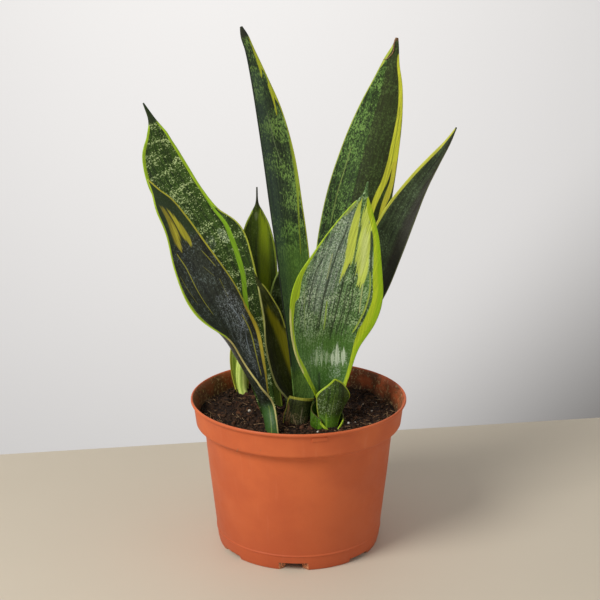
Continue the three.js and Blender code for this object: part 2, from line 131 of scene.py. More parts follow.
# %% Finishes
class Finish(Net):
    """A material and the short calls that wire its nodes."""

    def __init__(self, name, roughness=0.5, **sockets):
        self.material = bpy.data.materials.new(name)
        self.material.use_nodes = True
        super().__init__(self.material.node_tree)
        self.shader = self.tree.nodes["Principled BSDF"]
        self.wire(Roughness=roughness, **sockets)

    def measure(self, name):
        """A number that the mesh carries at every vertex."""
        return self.node("ShaderNodeAttribute", attribute_name=name).outputs["Fac"]

    def place(self):
        """The point's place in metres, the same in every view."""
        return self.node("ShaderNodeTexCoord").outputs["Object"]

    def parts(self, vector):
        """The x, y and z of a vector."""
        return self.node("ShaderNodeSeparateXYZ", {0: vector}).outputs

    def vector(self, x, y, z=0.0):
        """The vector of these three numbers."""
        return self.node("ShaderNodeCombineXYZ", {0: x, 1: y, 2: z}).outputs[0]

    def sum(self, operation, a, b=0.0, c=0.0):
        """The result of that operation of a Math node."""
        return self.node("ShaderNodeMath", {0: a, 1: b, 2: c}, operation=operation).outputs[0]

    def times(self, a, b):
        return self.sum("MULTIPLY", a, b)

    def less(self, a, b):
        return self.sum("SUBTRACT", a, b)

    def noise(self, vector, scale, detail=3.0, rough=0.55, twist=0.0):
        """A cloudy number around 0.5; scale is how many cells a unit of the vector has."""
        values = {"Vector": vector, "Scale": scale, "Detail": detail, "Roughness": rough, "Distortion": twist}
        return self.node("ShaderNodeTexNoise", values).outputs["Fac"]

    def step(self, value, low, high, to_low=0.0, to_high=1.0):
        """Runs smoothly from to_low to to_high while value goes from low to high."""
        values = {"Value": value, "From Min": low, "From Max": high, "To Min": to_low, "To Max": to_high}
        return self.node("ShaderNodeMapRange", values, interpolation_type="SMOOTHSTEP").outputs[0]

    def mix(self, share, a, b):
        """Colour a, with that share of colour b over it."""
        return self.node("ShaderNodeMix", {0: share, 6: a, 7: b}, data_type="RGBA").outputs[2]

    def bump(self, height, depth_mm, below=None):
        """The way a surface faces that is raised by so many mm where height is 1."""
        made = self.node("ShaderNodeBump", {"Height": height, "Distance": depth_mm * MM, "Strength": 1.0})
        if below is not None:
            self.put(made.inputs["Normal"], below)
        return made.outputs["Normal"]

    def wire(self, **outputs):
        """Gives values to the shader; a name has _ for each space."""
        for socket, value in outputs.items():
            self.put(self.shader.inputs[socket.replace("_", " ")], value)
        return self.material


print("finish calls:", [name for name in vars(Finish) if name[0] != "_"])


# %% Pieces
def piece(name, points, faces, finishes=()):
    """A mesh object of that name with its finishes, at the origin."""
    mesh = bpy.data.meshes.new(name)
    mesh.from_pydata([tuple(p) for p in points], [], [tuple(f) for f in faces])
    mesh.validate()
    for finish in finishes:
        mesh.materials.append(finish)
    made = bpy.data.objects.new(name, mesh)
    bpy.context.scene.collection.objects.link(made)
    return made


def outward(made, doubles=0.0):
    """Merges doubles and turns every face of a closed piece outwards."""
    work = bmesh.new()
    work.from_mesh(made.data)
    if doubles:
        bmesh.ops.remove_doubles(work, verts=work.verts, dist=doubles)
    bmesh.ops.recalc_face_normals(work, faces=work.faces)
    work.to_mesh(made.data)
    work.free()


print("piece calls ready")

# %% [markdown]
# ## Floor, backdrop and light
# The plant stands on a matt beige board that ends a little behind it, with a pale grey wall
# further back. Both are plain stage. The main light is a large soft one from the upper left
# in front, so shadows fall softly to the right; a weak fill from the right keeps them open.
# A third lamp, behind the plant, shines on the wall alone.

# %% Stage and light
floor_finish = Finish("beige_board", 0.75)
floor_tone = floor_finish.noise(floor_finish.place(), 9.0, 2.0)
floor_finish.wire(Base_Color=floor_finish.mix(floor_tone, seen(204, 193, 173), seen(208, 197, 177)))
BOARD_EDGE = [(-2.5, -0.226), (2.5, 0.605)]  # the board's back edge, from the left to the right
FLOOR = [(-2.5, -2.5, 0), (2.5, -2.5, 0), (*BOARD_EDGE[1], 0), (*BOARD_EDGE[0], 0)]
board = piece("floor_board", FLOOR, [(0, 1, 2, 3)], [floor_finish.material])
wall_finish = Finish("pale_wall", 0.9)
wall_tone = wall_finish.noise(wall_finish.place(), 2.0, 2.0)
wall_x, _, wall_z = wall_finish.parts(wall_finish.place())[:3]
# painted shade: the wall darkens towards the lower right, away from the light, and a little upwards
wall_painted_shade = wall_finish.step(wall_finish.less(wall_x, wall_z), 0.85, 2.1)
wall_base = wall_finish.mix(wall_tone, seen(218, 216, 214), seen(221, 219, 217))
wall_base = wall_finish.mix(wall_finish.step(wall_z, -0.9, 0.3), wall_base, seen(209, 207, 205))
wall_finish.wire(Base_Color=wall_finish.mix(wall_painted_shade, wall_base, seen(107, 104, 101)))
WALL = [(-4, 2.6, -1.2), (4, 2.6, -1.2), (4, 2.6, 3.0), (-4, 2.6, 3.0)]
wall = piece("backdrop_wall", WALL, [(0, 1, 2, 3)], [wall_finish.material])
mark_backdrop(board, wall)


def soft_light(name, place, aim, size, watts, tint=(1, 1, 1)):
    """A round lamp that shines from its place to its aim."""
    data = bpy.data.lights.new(name, "AREA")
    data.shape = "DISK"
    data.size = size
    data.energy = watts
    data.color = tint
    made = bpy.data.objects.new(name, data)
    made.location = place
    made.rotation_euler = (Vector(aim) - Vector(place)).to_track_quat("-Z", "Y").to_euler()
    bpy.context.scene.collection.objects.link(made)


soft_light("key_light", (-1.0, -0.9, 1.25), (0, 0, 0.15), 0.8, 23.5, (1.0, 0.985, 0.96))
soft_light("fill_light", (1.5, -0.7, 0.7), (0, 0, 0.15), 1.2, 2.2, (0.95, 0.97, 1.0))
soft_light("wall_light", (-0.25, 0.3, 0.62), (-0.25, 2.6, 0.62), 0.5, 48)
world = bpy.data.worlds.new("studio_air")
world.use_nodes = True
air = world.node_tree.nodes["Background"].inputs
air["Color"].default_value = (0.95, 0.95, 0.97, 1)
air["Strength"].default_value = 0.43
bpy.context.scene.world = world
bpy.context.scene.view_settings.view_transform = "Standard"
print("stage: 2 sheets, 3 lights")

# %% [markdown]
# ## The pot
# A nursery pot is a thin plastic moulding, so it is a profile turned about the vertical axis:
# a stepped wall outside, its match inside, and a foot ring. The seven drainage notches and the
# drain holes are cut with a Boolean modifier, because they don't follow the turning.

# %% Pot values: points of (radius, height) in mm
POT_TURNS = 280  # steps around
WALL_OUTSIDE = [
    (54.6, 0.0), (56.2, 0.25), (56.6, 1.2), (57.4, 4.4), (58.0, 10.3), (58.45, 10.8), (58.45, 11.4),
    (58.15, 11.9), (60.3, 32), (62.8, 55), (65.4, 82.9), (65.7, 84.4), (66.3, 85.6), (67.4, 86.5),
    (68.9, 87.1), (70.3, 87.7), (71.1, 88.3), (71.45, 88.9), (71.6, 89.9), (72.2, 95), (73.0, 101.6),
    (73.2, 102.7), (73.6, 103.4), (74.3, 103.8), (74.8, 104.1), (75, 104.5), (75, 105.2), (74.9, 105.6),
    (74.6, 105.93), (74.25, 106), (73.9, 105.95),
]
WALL_INSIDE = [
    (73.5, 105.4), (72.3, 103.4), (71.8, 101.6), (70.9, 95), (70.25, 90.9), (69.9, 89.9), (69.2, 89.1),
    (67.4, 88.0), (65.9, 87.2), (65.1, 86.4), (64.1, 83.4), (61.4, 55), (59.0, 32), (56.8, 10.4),
    (55.6, 8.4), (53.6, 7.4),
]
FOOT_INSIDE = [(0, 6.2), (48.3, 6.2), (48.9, 5.8), (49.5, 0.3), (49.9, 0.0)]
FLOOR_MIDDLE = (0, 7.4)
NOTCHES, FIRST_NOTCH = 7, -3.5  # how many, and the first one's turn in degrees
NOTCH_HEIGHT, NOTCH_LOW_HEIGHT = 5.8, 2.8  # of the first one, and of the others
print("pot profile:", len(FOOT_INSIDE + WALL_OUTSIDE + WALL_INSIDE), "points")


# %% Turn the pot
def around(turns):
    """The cosine and sine of so many even steps around a circle."""
    angles = [2 * math.pi * k / turns for k in range(turns)]
    return [(math.cos(angle), math.sin(angle)) for angle in angles]


def ring_faces(turns, rings):
    """Faces of rings of points that lie between a first and a last point on the axis."""
    last, top, faces = 1 + rings * turns, 1 + (rings - 1) * turns, []
    for k in range(turns):
        after = (k + 1) % turns
        faces.append((0, 1 + after, 1 + k))
        for row in range(1, top, turns):
            faces.append((row + k, row + after, row + turns + after, row + turns + k))
        faces.append((last, top + k, top + after))
    return faces


def turned(profile, turns):
    """Points and faces of a profile of (radius, height) in mm turned about Z, which it starts
    and ends on."""
    points = [(0, 0, profile[0][1] * MM)]
    for radius, height in profile[1:-1]:
        points += [(radius * MM * s, -radius * MM * c, height * MM) for c, s in around(turns)]
    points.append((0, 0, profile[-1][1] * MM))
    return points, ring_faces(turns, len(profile) - 2)


POT_PROFILE = FOOT_INSIDE + WALL_OUTSIDE + WALL_INSIDE + [FLOOR_MIDDLE]
pot = piece("nursery_pot", *turned(POT_PROFILE, POT_TURNS))
outward(pot)
print("pot before cutting:", len(pot.data.polygons), "faces")

# %% [markdown]
# ## The finish of the pot
# The plastic is a matt orange-brown. Up close it is not even: the colour drifts a little,
# faint rubbed streaks run up the wall, painted shade darkens it towards the foot, and above
# the soil the inside carries dried brown splashes and, on its left, painted shade. The cut
# notch walls are rougher and speckled.


# %% Stains and painted shade inside the pot
# the middle of the wall: its radius in metres at the foot, and what it gains with height
WALL_MIDDLE, WALL_LEAN = 0.0555, 0.17
STAIN_START = (0.0880, 0.0886)  # metres: the heights between which the stain sets in


def stained_and_shaded(made, place, colour):
    """The same plastic on the inside of the wall, where soil and water have marked it, with
    painted shade on its left side. The inside is nearer to the axis than the middle of the
    wall is at that height."""
    x, y, z = made.parts(place)[:3]
    radius = made.sum("SQRT", made.sum("MULTIPLY_ADD", x, x, made.times(y, y)))
    wall = made.sum("MULTIPLY_ADD", z, WALL_LEAN, WALL_MIDDLE)
    inside = made.step(made.less(wall, radius), -0.0002, 0.0002)
    inside = made.times(inside, made.step(z, *STAIN_START))
    splash = made.noise(place, 85.0, 5.0, 0.62, 0.5)
    stain = made.step(splash, 0.42, 0.6, 0.25, 0.95)
    # painted shade: the inside of the wall darkens on its left, where it lies in shade
    left = made.step(x, 0.02, -0.05, 0.0, 0.5)
    low = made.times(made.step(z, 0.098, 0.090), made.step(splash, 0.3, 0.5, 0.5, 1.0))
    bits = made.step(made.noise(place, 520.0, 3.0, 0.7), 0.54, 0.64)
    fleck = made.times(bits, made.step(splash, 0.36, 0.56, 0.1, 0.85))
    brown, dark, earth, pale = seen(118, 68, 30), seen(92, 50, 20), seen(70, 46, 24), seen(196, 164, 116)
    for share, tone in ((stain, brown), (left, dark), (low, earth), (fleck, pale)):
        colour = made.mix(made.times(inside, share), colour, tone)
    return colour


print("stains start between", STAIN_START, "m")


# %% Pot finishes
def pot_plastic(name, cut=False):
    """The pot's plastic, smooth as moulded or rough where it is cut."""
    made = Finish(name, 0.55, Specular_IOR_Level=0.38)
    place = made.place()
    x, y, z = made.parts(place)[:3]
    drift = made.noise(place, 22.0, 4.0)
    colour = made.mix(made.step(drift, 0.35, 0.65), seen(200, 96, 52), seen(213, 107, 58))
    up_the_wall = made.vector(made.times(x, 260), made.times(y, 260), made.times(z, 9))
    rub = made.noise(up_the_wall, 1.0, 3.0)
    colour = made.mix(made.step(rub, 0.58, 0.8, 0.0, 0.22), colour, seen(222, 132, 92))
    # painted shade: the plastic darkens towards the foot, where less light reaches it
    colour = made.mix(made.step(z, 0.085, 0.0, 0.0, 0.5), colour, seen(172, 76, 42))
    grain = made.noise(place, 1400.0, 2.0)
    colour = made.mix(made.step(grain, 0.62, 0.75, 0.0, 0.18), colour, seen(168, 76, 44))
    if cut:
        speck = made.noise(place, 900.0, 3.0, 0.7)
        colour = made.mix(made.step(speck, 0.40, 0.6), seen(240, 160, 112), seen(110, 52, 28))
        colour = made.mix(made.step(speck, 0.60, 0.68, 0.0, 0.9), colour, seen(250, 214, 176))
        normal = made.bump(speck, 0.5)
    else:
        colour = stained_and_shaded(made, place, colour)
        normal = made.bump(grain, 0.03)
        normal = made.bump(rub, 0.04, normal)
    rough = made.step(made.noise(place, 60.0, 3.0), 0.3, 0.7, 0.5, 0.64)
    return made.wire(Base_Color=colour, Roughness=rough, Normal=normal)


pot_skin = pot_plastic("orange_pot_plastic")
pot_cut = pot_plastic("rough_notch_plastic", cut=True)
print("pot finishes:", pot_skin.name, pot_cut.name)


# %% Cut the notches and the drain holes
def about_z(x, y, z, angle):
    """A point in mm turned about Z, in metres."""
    c, s = math.cos(angle), math.sin(angle)
    return ((x * c - y * s) * MM, (x * s + y * c) * MM, z * MM)


NOTCH_PLAN = [(-13.5, -62), (13.5, -62), (12.5, -57.5), (6, -51.5), (6, -44)]
NOTCH_PLAN += [(-x, y) for x, y in reversed(NOTCH_PLAN[2:])]
DRAIN_RADIUS, DRAIN_REACH, DRAIN_TURNS = 4, 38, 36
DRAIN_PLAN = [(DRAIN_RADIUS * c, -DRAIN_REACH + DRAIN_RADIUS * s) for c, s in around(DRAIN_TURNS)]
points, faces = [], []
for i in range(NOTCHES):
    angle = math.radians(FIRST_NOTCH + i * 360 / NOTCHES)
    notch_top = NOTCH_LOW_HEIGHT if i else NOTCH_HEIGHT
    for plan, low, high, taper in ((NOTCH_PLAN, -1, notch_top, 0.85), (DRAIN_PLAN, 4, 9, 1.0)):
        first, size = len(points), len(plan)
        points += [about_z(x, y, low, angle) for x, y in plan]
        points += [about_z(x * taper, y, high, angle) for x, y in plan]
        low_ring, high_ring = range(first, first + size), range(first + size, first + 2 * size)
        faces += [tuple(reversed(low_ring)), tuple(high_ring)]
        sides = [(first + k, first + (k + 1) % size) for k in range(size)]
        faces += [(a, b, b + size, a + size) for a, b in sides]
cutter = piece("notch_cutter", points, faces, [pot_cut])
outward(cutter)
pot.data.materials.append(pot_skin)
cut = pot.modifiers.new("notches", "BOOLEAN")
cut.operation, cut.solver, cut.material_mode, cut.object = "DIFFERENCE", "EXACT", "TRANSFER", cutter


def settle(made):
    """Applies what the modifiers do and returns the object with a plain mesh."""
    graph = bpy.context.evaluated_depsgraph_get()
    mesh = bpy.data.meshes.new_from_object(made.evaluated_get(graph))
    made.modifiers.clear()
    made.data = mesh
    mesh.name = made.name


settle(pot)
bpy.data.objects.remove(cutter)
print("pot after cutting:", len(pot.data.polygons), "faces,", [m.name for m in pot.data.materials])

# %% [markdown]
# ## The blank tab
# Under the rim a small raised tab sits on the slope of the band. It is a shallow block with
# softened edges that reaches back into the wall, so a Bevel modifier on a plain wedge does it.

# %% Tab
TAB_HALF, TAB_ANGLE = 5.2, math.radians(11)
TAB_ENDS = ((99.8, 72.8), (102.9, 73.2))  # height and the wall's radius there
TAB_OUT, TAB_IN = 0.4, 1  # how far it stands out of the wall and reaches into it
tab_points = []
for z, radius in TAB_ENDS:
    front, back = -radius - TAB_OUT, -radius + TAB_IN
    for x, y in ((-TAB_HALF, front), (TAB_HALF, front), (TAB_HALF, back), (-TAB_HALF, back)):
        tab_points.append(about_z(x, y, z, TAB_ANGLE))
tab_faces = [(0, 3, 2, 1), (4, 5, 6, 7), (0, 1, 5, 4), (1, 2, 6, 5), (2, 3, 7, 6), (3, 0, 4, 7)]
tab = piece("blank_tab", tab_points, tab_faces, [pot_skin])
outward(tab)
soften = tab.modifiers.new("soft_edges", "BEVEL")
soften.width, soften.segments, soften.limit_method = 0.25 * MM, 3, "NONE"
settle(tab)
for made in (pot, tab):
    made.data.shade_smooth()
    made.data.set_sharp_from_angle(angle=math.radians(32))
print("tab:", len(tab.data.polygons), "faces")

# %% [markdown]
# ## The soil
# Peat fills the pot to about 15 mm under the rim. Its body is one closed mesh: a ring grid
# whose heights follow the same low humps as the frame's soil, roughened with noise, on plain
# sides that follow the inside of the wall.

# %% Soil surface
SOIL_LEVEL = 91  # mm, before the slope and the humps
SOIL_EDGE = 69  # mm, near enough where the soil meets the wall
SOIL_GAP = 0.45  # mm, between the soil and the wall
# radii and heights of the inside of the wall where the soil meets it
WALL_STEP = [(65.1, 86.6), (69.2, 89.2), (70.1, 90.9), (70.8, 95)]


def soil_height(x, y):
    """Height of the soil in mm at a place in mm."""
    humps = 0.9 * math.sin(x * 0.13 + 1.1) * math.cos(y * 0.11 - 0.4)
    humps += 0.7 * math.sin(x * 0.05 - y * 0.21 + 2.2)
    return SOIL_LEVEL - 0.016 * x + 0.012 * y + humps


def crumbled(x, y):
    """How far the crumbs lift or lower the surface there, in mm."""
    big = noise.fractal(Vector((x * 0.16, y * 0.16, 3.0)), 1.0, 2.0, 3)
    small = noise.fractal(Vector((x * 0.55, y * 0.55, 9.0)), 1.0, 2.0, 3)
    return 1.1 * big + 0.7 * small


def wall_radius(height):
    """How far from the axis the soil may reach at a height there."""
    radii, heights = zip(*WALL_STEP)
    return float(np.interp(height, heights, radii)) - SOIL_GAP


print("soil in the middle:", round(soil_height(0, 0), 2), "mm high")

# %% Soil body
SOIL_TURNS, SOIL_RINGS = 240, 60
# radii and heights of the sides of the soil
SOIL_SIDE = [(53, 7.75), (56.45, 10.4), (58.65, 32), (61.05, 55), (63.75, 83.4), (64.7, 86.6)]


def soil_ring(ring, c, s):
    """Radius and height in mm of a ring of the soil, in the direction (c, s)."""
    if ring < len(SOIL_SIDE):
        return SOIL_SIDE[ring]
    foot, top = SOIL_SIDE[-1][1], soil_height(SOIL_EDGE * c, SOIL_EDGE * s)
    if ring == len(SOIL_SIDE):
        half_way = foot + (top - foot) * 0.5
        return wall_radius(half_way), half_way
    inwards = (ring - len(SOIL_SIDE) - 1) / SOIL_RINGS
    radius = wall_radius(top) * (1 - inwards**1.15)
    rough = crumbled(radius * c, radius * s) * min(1, (SOIL_EDGE + 1 - radius) / 3)
    return radius, soil_height(radius * c, radius * s) + rough


points, rings = [(0, 0, SOIL_SIDE[0][1] * MM)], len(SOIL_SIDE) + 1 + SOIL_RINGS
for ring in range(rings):
    for c, s in around(SOIL_TURNS):
        radius, height = soil_ring(ring, c, s)
        points.append((radius * c * MM, radius * s * MM, height * MM))
points.append((0, 0, (soil_height(0, 0) + crumbled(0, 0)) * MM))
faces = ring_faces(SOIL_TURNS, rings)
soil = piece("peat_bed", points, faces)
outward(soil)
soil.data.shade_smooth()
print("soil:", len(soil.data.polygons), "faces")

# %% [markdown]
# ## The finishes of the soil
# Moist peat is nearly black in its pits and a warm brown on its dry tops. The pale bits are
# perlite, a white volcanic glass full of pits; bark is a ruddier brown and the root hairs
# are straw coloured. Each gets its own small net.


# %% Soil finishes
def crumb_finish(name, dark, light, scale, rough=0.9, depth=0.35):
    """A grainy finish between two tones; scale is how many clods a metre has."""
    made = Finish(name, rough, Specular_IOR_Level=0.25)
    place = made.place()
    clod = made.noise(place, scale, 5.0, 0.65)
    grit = made.noise(place, scale * 5, 3.0, 0.6)
    colour = made.mix(made.step(clod, 0.35, 0.68), dark, light)
    colour = made.mix(made.step(grit, 0.55, 0.8, 0.0, 0.5), colour, light)
    colour = made.mix(made.step(grit, 0.45, 0.25, 0.0, 0.6), colour, dark)
    return made.wire(Base_Color=colour, Normal=made.bump(grit, depth))


peat = crumb_finish("moist_peat", seen(16, 10, 7), seen(62, 42, 28), 330)
peat_crumb = crumb_finish("peat_crumb", seen(20, 12, 8), seen(84, 58, 38), 280)
perlite = crumb_finish("perlite_white", seen(176, 168, 152), seen(232, 227, 216), 420, 0.8, 0.2)
bark = crumb_finish("bark_bit", seen(58, 35, 23), seen(112, 74, 48), 240)
root = crumb_finish("root_hair", seen(120, 90, 60), seen(188, 156, 116), 300, 0.8, 0.05)
soil.data.materials.append(peat)
print("soil finishes: 5")

# %% [markdown]
# ## Crumbs, perlite, bark and root hairs
# Thousands of loose bits lie on the soil. Placing them by hand would be slow and look combed,
# so a Geometry Nodes tree scatters points over the surface, puts a bit on each, turns and
# sizes it by chance from a fixed seed, and roughens all of them with one noise. The tree ends
# in Realize Instances and Set Material, so that its result can be kept as a plain mesh.


# %% Scatter tree
BIT_INPUTS = dict(Density=1.0e5, Smallest=0.001, Largest=0.002, Roughening=0.001, Grain=400.0)
HAIR = dict(points=12, sides=4, radius=0.00016, tilt=0.5)
ANY_WAY = 6.28  # a whole turn


def scatter_tree(name, finish, hair=False):
    """A tree that covers a mesh with bits, or with hairs, of that finish."""
    net = Net(bpy.data.node_groups.new(name, "GeometryNodeTree"))
    ask = net.tree.interface.new_socket
    ask("Geometry", in_out="INPUT", socket_type="NodeSocketGeometry")
    for label, value in BIT_INPUTS.items():
        ask(label, in_out="INPUT", socket_type="NodeSocketFloat").default_value = value
    ask("Seed", in_out="INPUT", socket_type="NodeSocketInt").default_value = 1
    ask("Geometry", in_out="OUTPUT", socket_type="NodeSocketGeometry")
    given = net.node("NodeGroupInput").outputs
    seed = {"Seed": given["Seed"]}
    spread = {"Mesh": given["Geometry"], "Density": given["Density"], **seed}
    spots = net.node("GeometryNodeDistributePointsOnFaces", spread).outputs["Points"]
    if hair:
        line = net.node("GeometryNodeCurvePrimitiveLine", {"Start": (-0.5, 0, 0), "End": (0.5, 0, 0)})
        split = {"Curve": line.outputs["Curve"], "Count": HAIR["points"]}
        bit, tilt = net.node("GeometryNodeResampleCurve", split).outputs["Curve"], HAIR["tilt"]
    else:
        ball = net.node("GeometryNodeMeshIcoSphere", {"Radius": 0.5, "Subdivisions": 2})
        bit, tilt = ball.outputs["Mesh"], ANY_WAY
    turns = {"Max": (tilt, tilt, ANY_WAY), **seed}
    turn = net.node("FunctionNodeRandomValue", turns, data_type="FLOAT_VECTOR").outputs["Value"]
    sizes = {"Min": given["Smallest"], "Max": given["Largest"], **seed}
    size = net.node("FunctionNodeRandomValue", sizes, data_type="FLOAT").outputs[1]
    placed = {"Points": spots, "Instance": bit, "Rotation": turn, "Scale": size}
    bits = net.node("GeometryNodeInstanceOnPoints", placed).outputs["Instances"]
    shape = net.node("GeometryNodeRealizeInstances", {"Geometry": bits}).outputs["Geometry"]
    where = net.node("GeometryNodeInputPosition").outputs["Position"]
    grains = {"Vector": where, "Scale": given["Grain"], "Detail": 1.0}
    grain = net.node("ShaderNodeTexNoise", grains).outputs["Color"]
    push = net.node("ShaderNodeVectorMath", {0: grain, 1: (0.5, 0.5, 0.5)}, operation="SUBTRACT").outputs[0]
    push = {0: push, "Scale": given["Roughening"]}
    push = net.node("ShaderNodeVectorMath", push, operation="SCALE").outputs[0]
    moved = net.node("GeometryNodeSetPosition", {"Geometry": shape, "Offset": push})
    shape = moved.outputs["Geometry"]
    if hair:
        round_line = {"Resolution": HAIR["sides"], "Radius": HAIR["radius"]}
        ring = net.node("GeometryNodeCurvePrimitiveCircle", round_line).outputs["Curve"]
        tube = {"Curve": shape, "Profile Curve": ring, "Fill Caps": True}
        shape = net.node("GeometryNodeCurveToMesh", tube).outputs["Mesh"]
    painted = net.node("GeometryNodeSetMaterial", {"Geometry": shape, "Material": finish})
    net.node("NodeGroupOutput", {"Geometry": painted.outputs["Geometry"]})
    return net.tree


print("scatter inputs:", *BIT_INPUTS, "Seed")


# %% Scattered bits
def scattered(name, finish, density, smallest, largest, roughening, grain, seed, hair=False):
    """Bits of that finish on the soil, as a plain mesh piece. Sizes are in mm."""
    made = piece(name, bed_points, bed_faces)
    tree = scatter_tree(name + "_scatter", finish, hair)
    scatter = made.modifiers.new("scatter", "NODES")
    values = dict(Density=density, Grain=grain, Seed=seed)
    values.update(Smallest=smallest * MM, Largest=largest * MM, Roughening=roughening * MM)
    scatter.node_group = tree
    for socket in tree.interface.items_tree:
        if socket.item_type == "SOCKET" and socket.in_out == "INPUT" and socket.name in values:
            scatter[socket.identifier] = values[socket.name]
    settle(made)
    made.data.shade_smooth()
    print(name, len(made.data.polygons), "faces")
    return made


print("scattered bits ready")

# %% Scatter the bits
BED_TURNS, BED_RINGS = 72, 22
BED_MIDDLE, BED_GAP, BED_LIFT = 1, 0.8, 0.1  # mm: its hole, its gap to the wall, its lift
bed_points, bed_faces = [], []
for r in range(BED_RINGS + 1):
    for c, s in around(BED_TURNS):
        edge = wall_radius(soil_height(SOIL_EDGE * c, SOIL_EDGE * s)) - BED_GAP
        radius = BED_MIDDLE + (edge - BED_MIDDLE) * r / BED_RINGS
        x, y = radius * c, radius * s
        bed_points.append((x * MM, y * MM, (soil_height(x, y) + crumbled(x, y) + BED_LIFT) * MM))
for r in range(BED_RINGS):
    for k in range(BED_TURNS):
        a, b = r * BED_TURNS + k, r * BED_TURNS + (k + 1) % BED_TURNS
        bed_faces.append((a, a + BED_TURNS, b + BED_TURNS, b))
crumbs = scattered("peat_crumbs", peat_crumb, 1.9e5, 0.6, 2.2, 1.3, 800, 4)
lumps = scattered("peat_lumps", peat_crumb, 8.0e3, 2.2, 4.6, 2.8, 380, 8)
chips = scattered("bark_chips", bark, 3.4e3, 1.6, 4.5, 3.4, 360, 11)
grains = scattered("perlite_grains", perlite, 1.4e3, 0.9, 2.6, 1.0, 700, 23)
hairs = scattered("root_hairs", root, 2.4e4, 4.0, 12.0, 7.0, 110, 31, hair=True)

# %% [markdown]
# ## The shape of a leaf
# A snake plant's leaf is a long blade, hollow on its upper side, that twists as it rises. It is
# described by stations up its middle line: the place, the width to the left and right, the way
# the face looks, and how far each half curls. A smooth curve through the stations gives every
# row of the mesh, and each row is a closed outline with rounded margins.

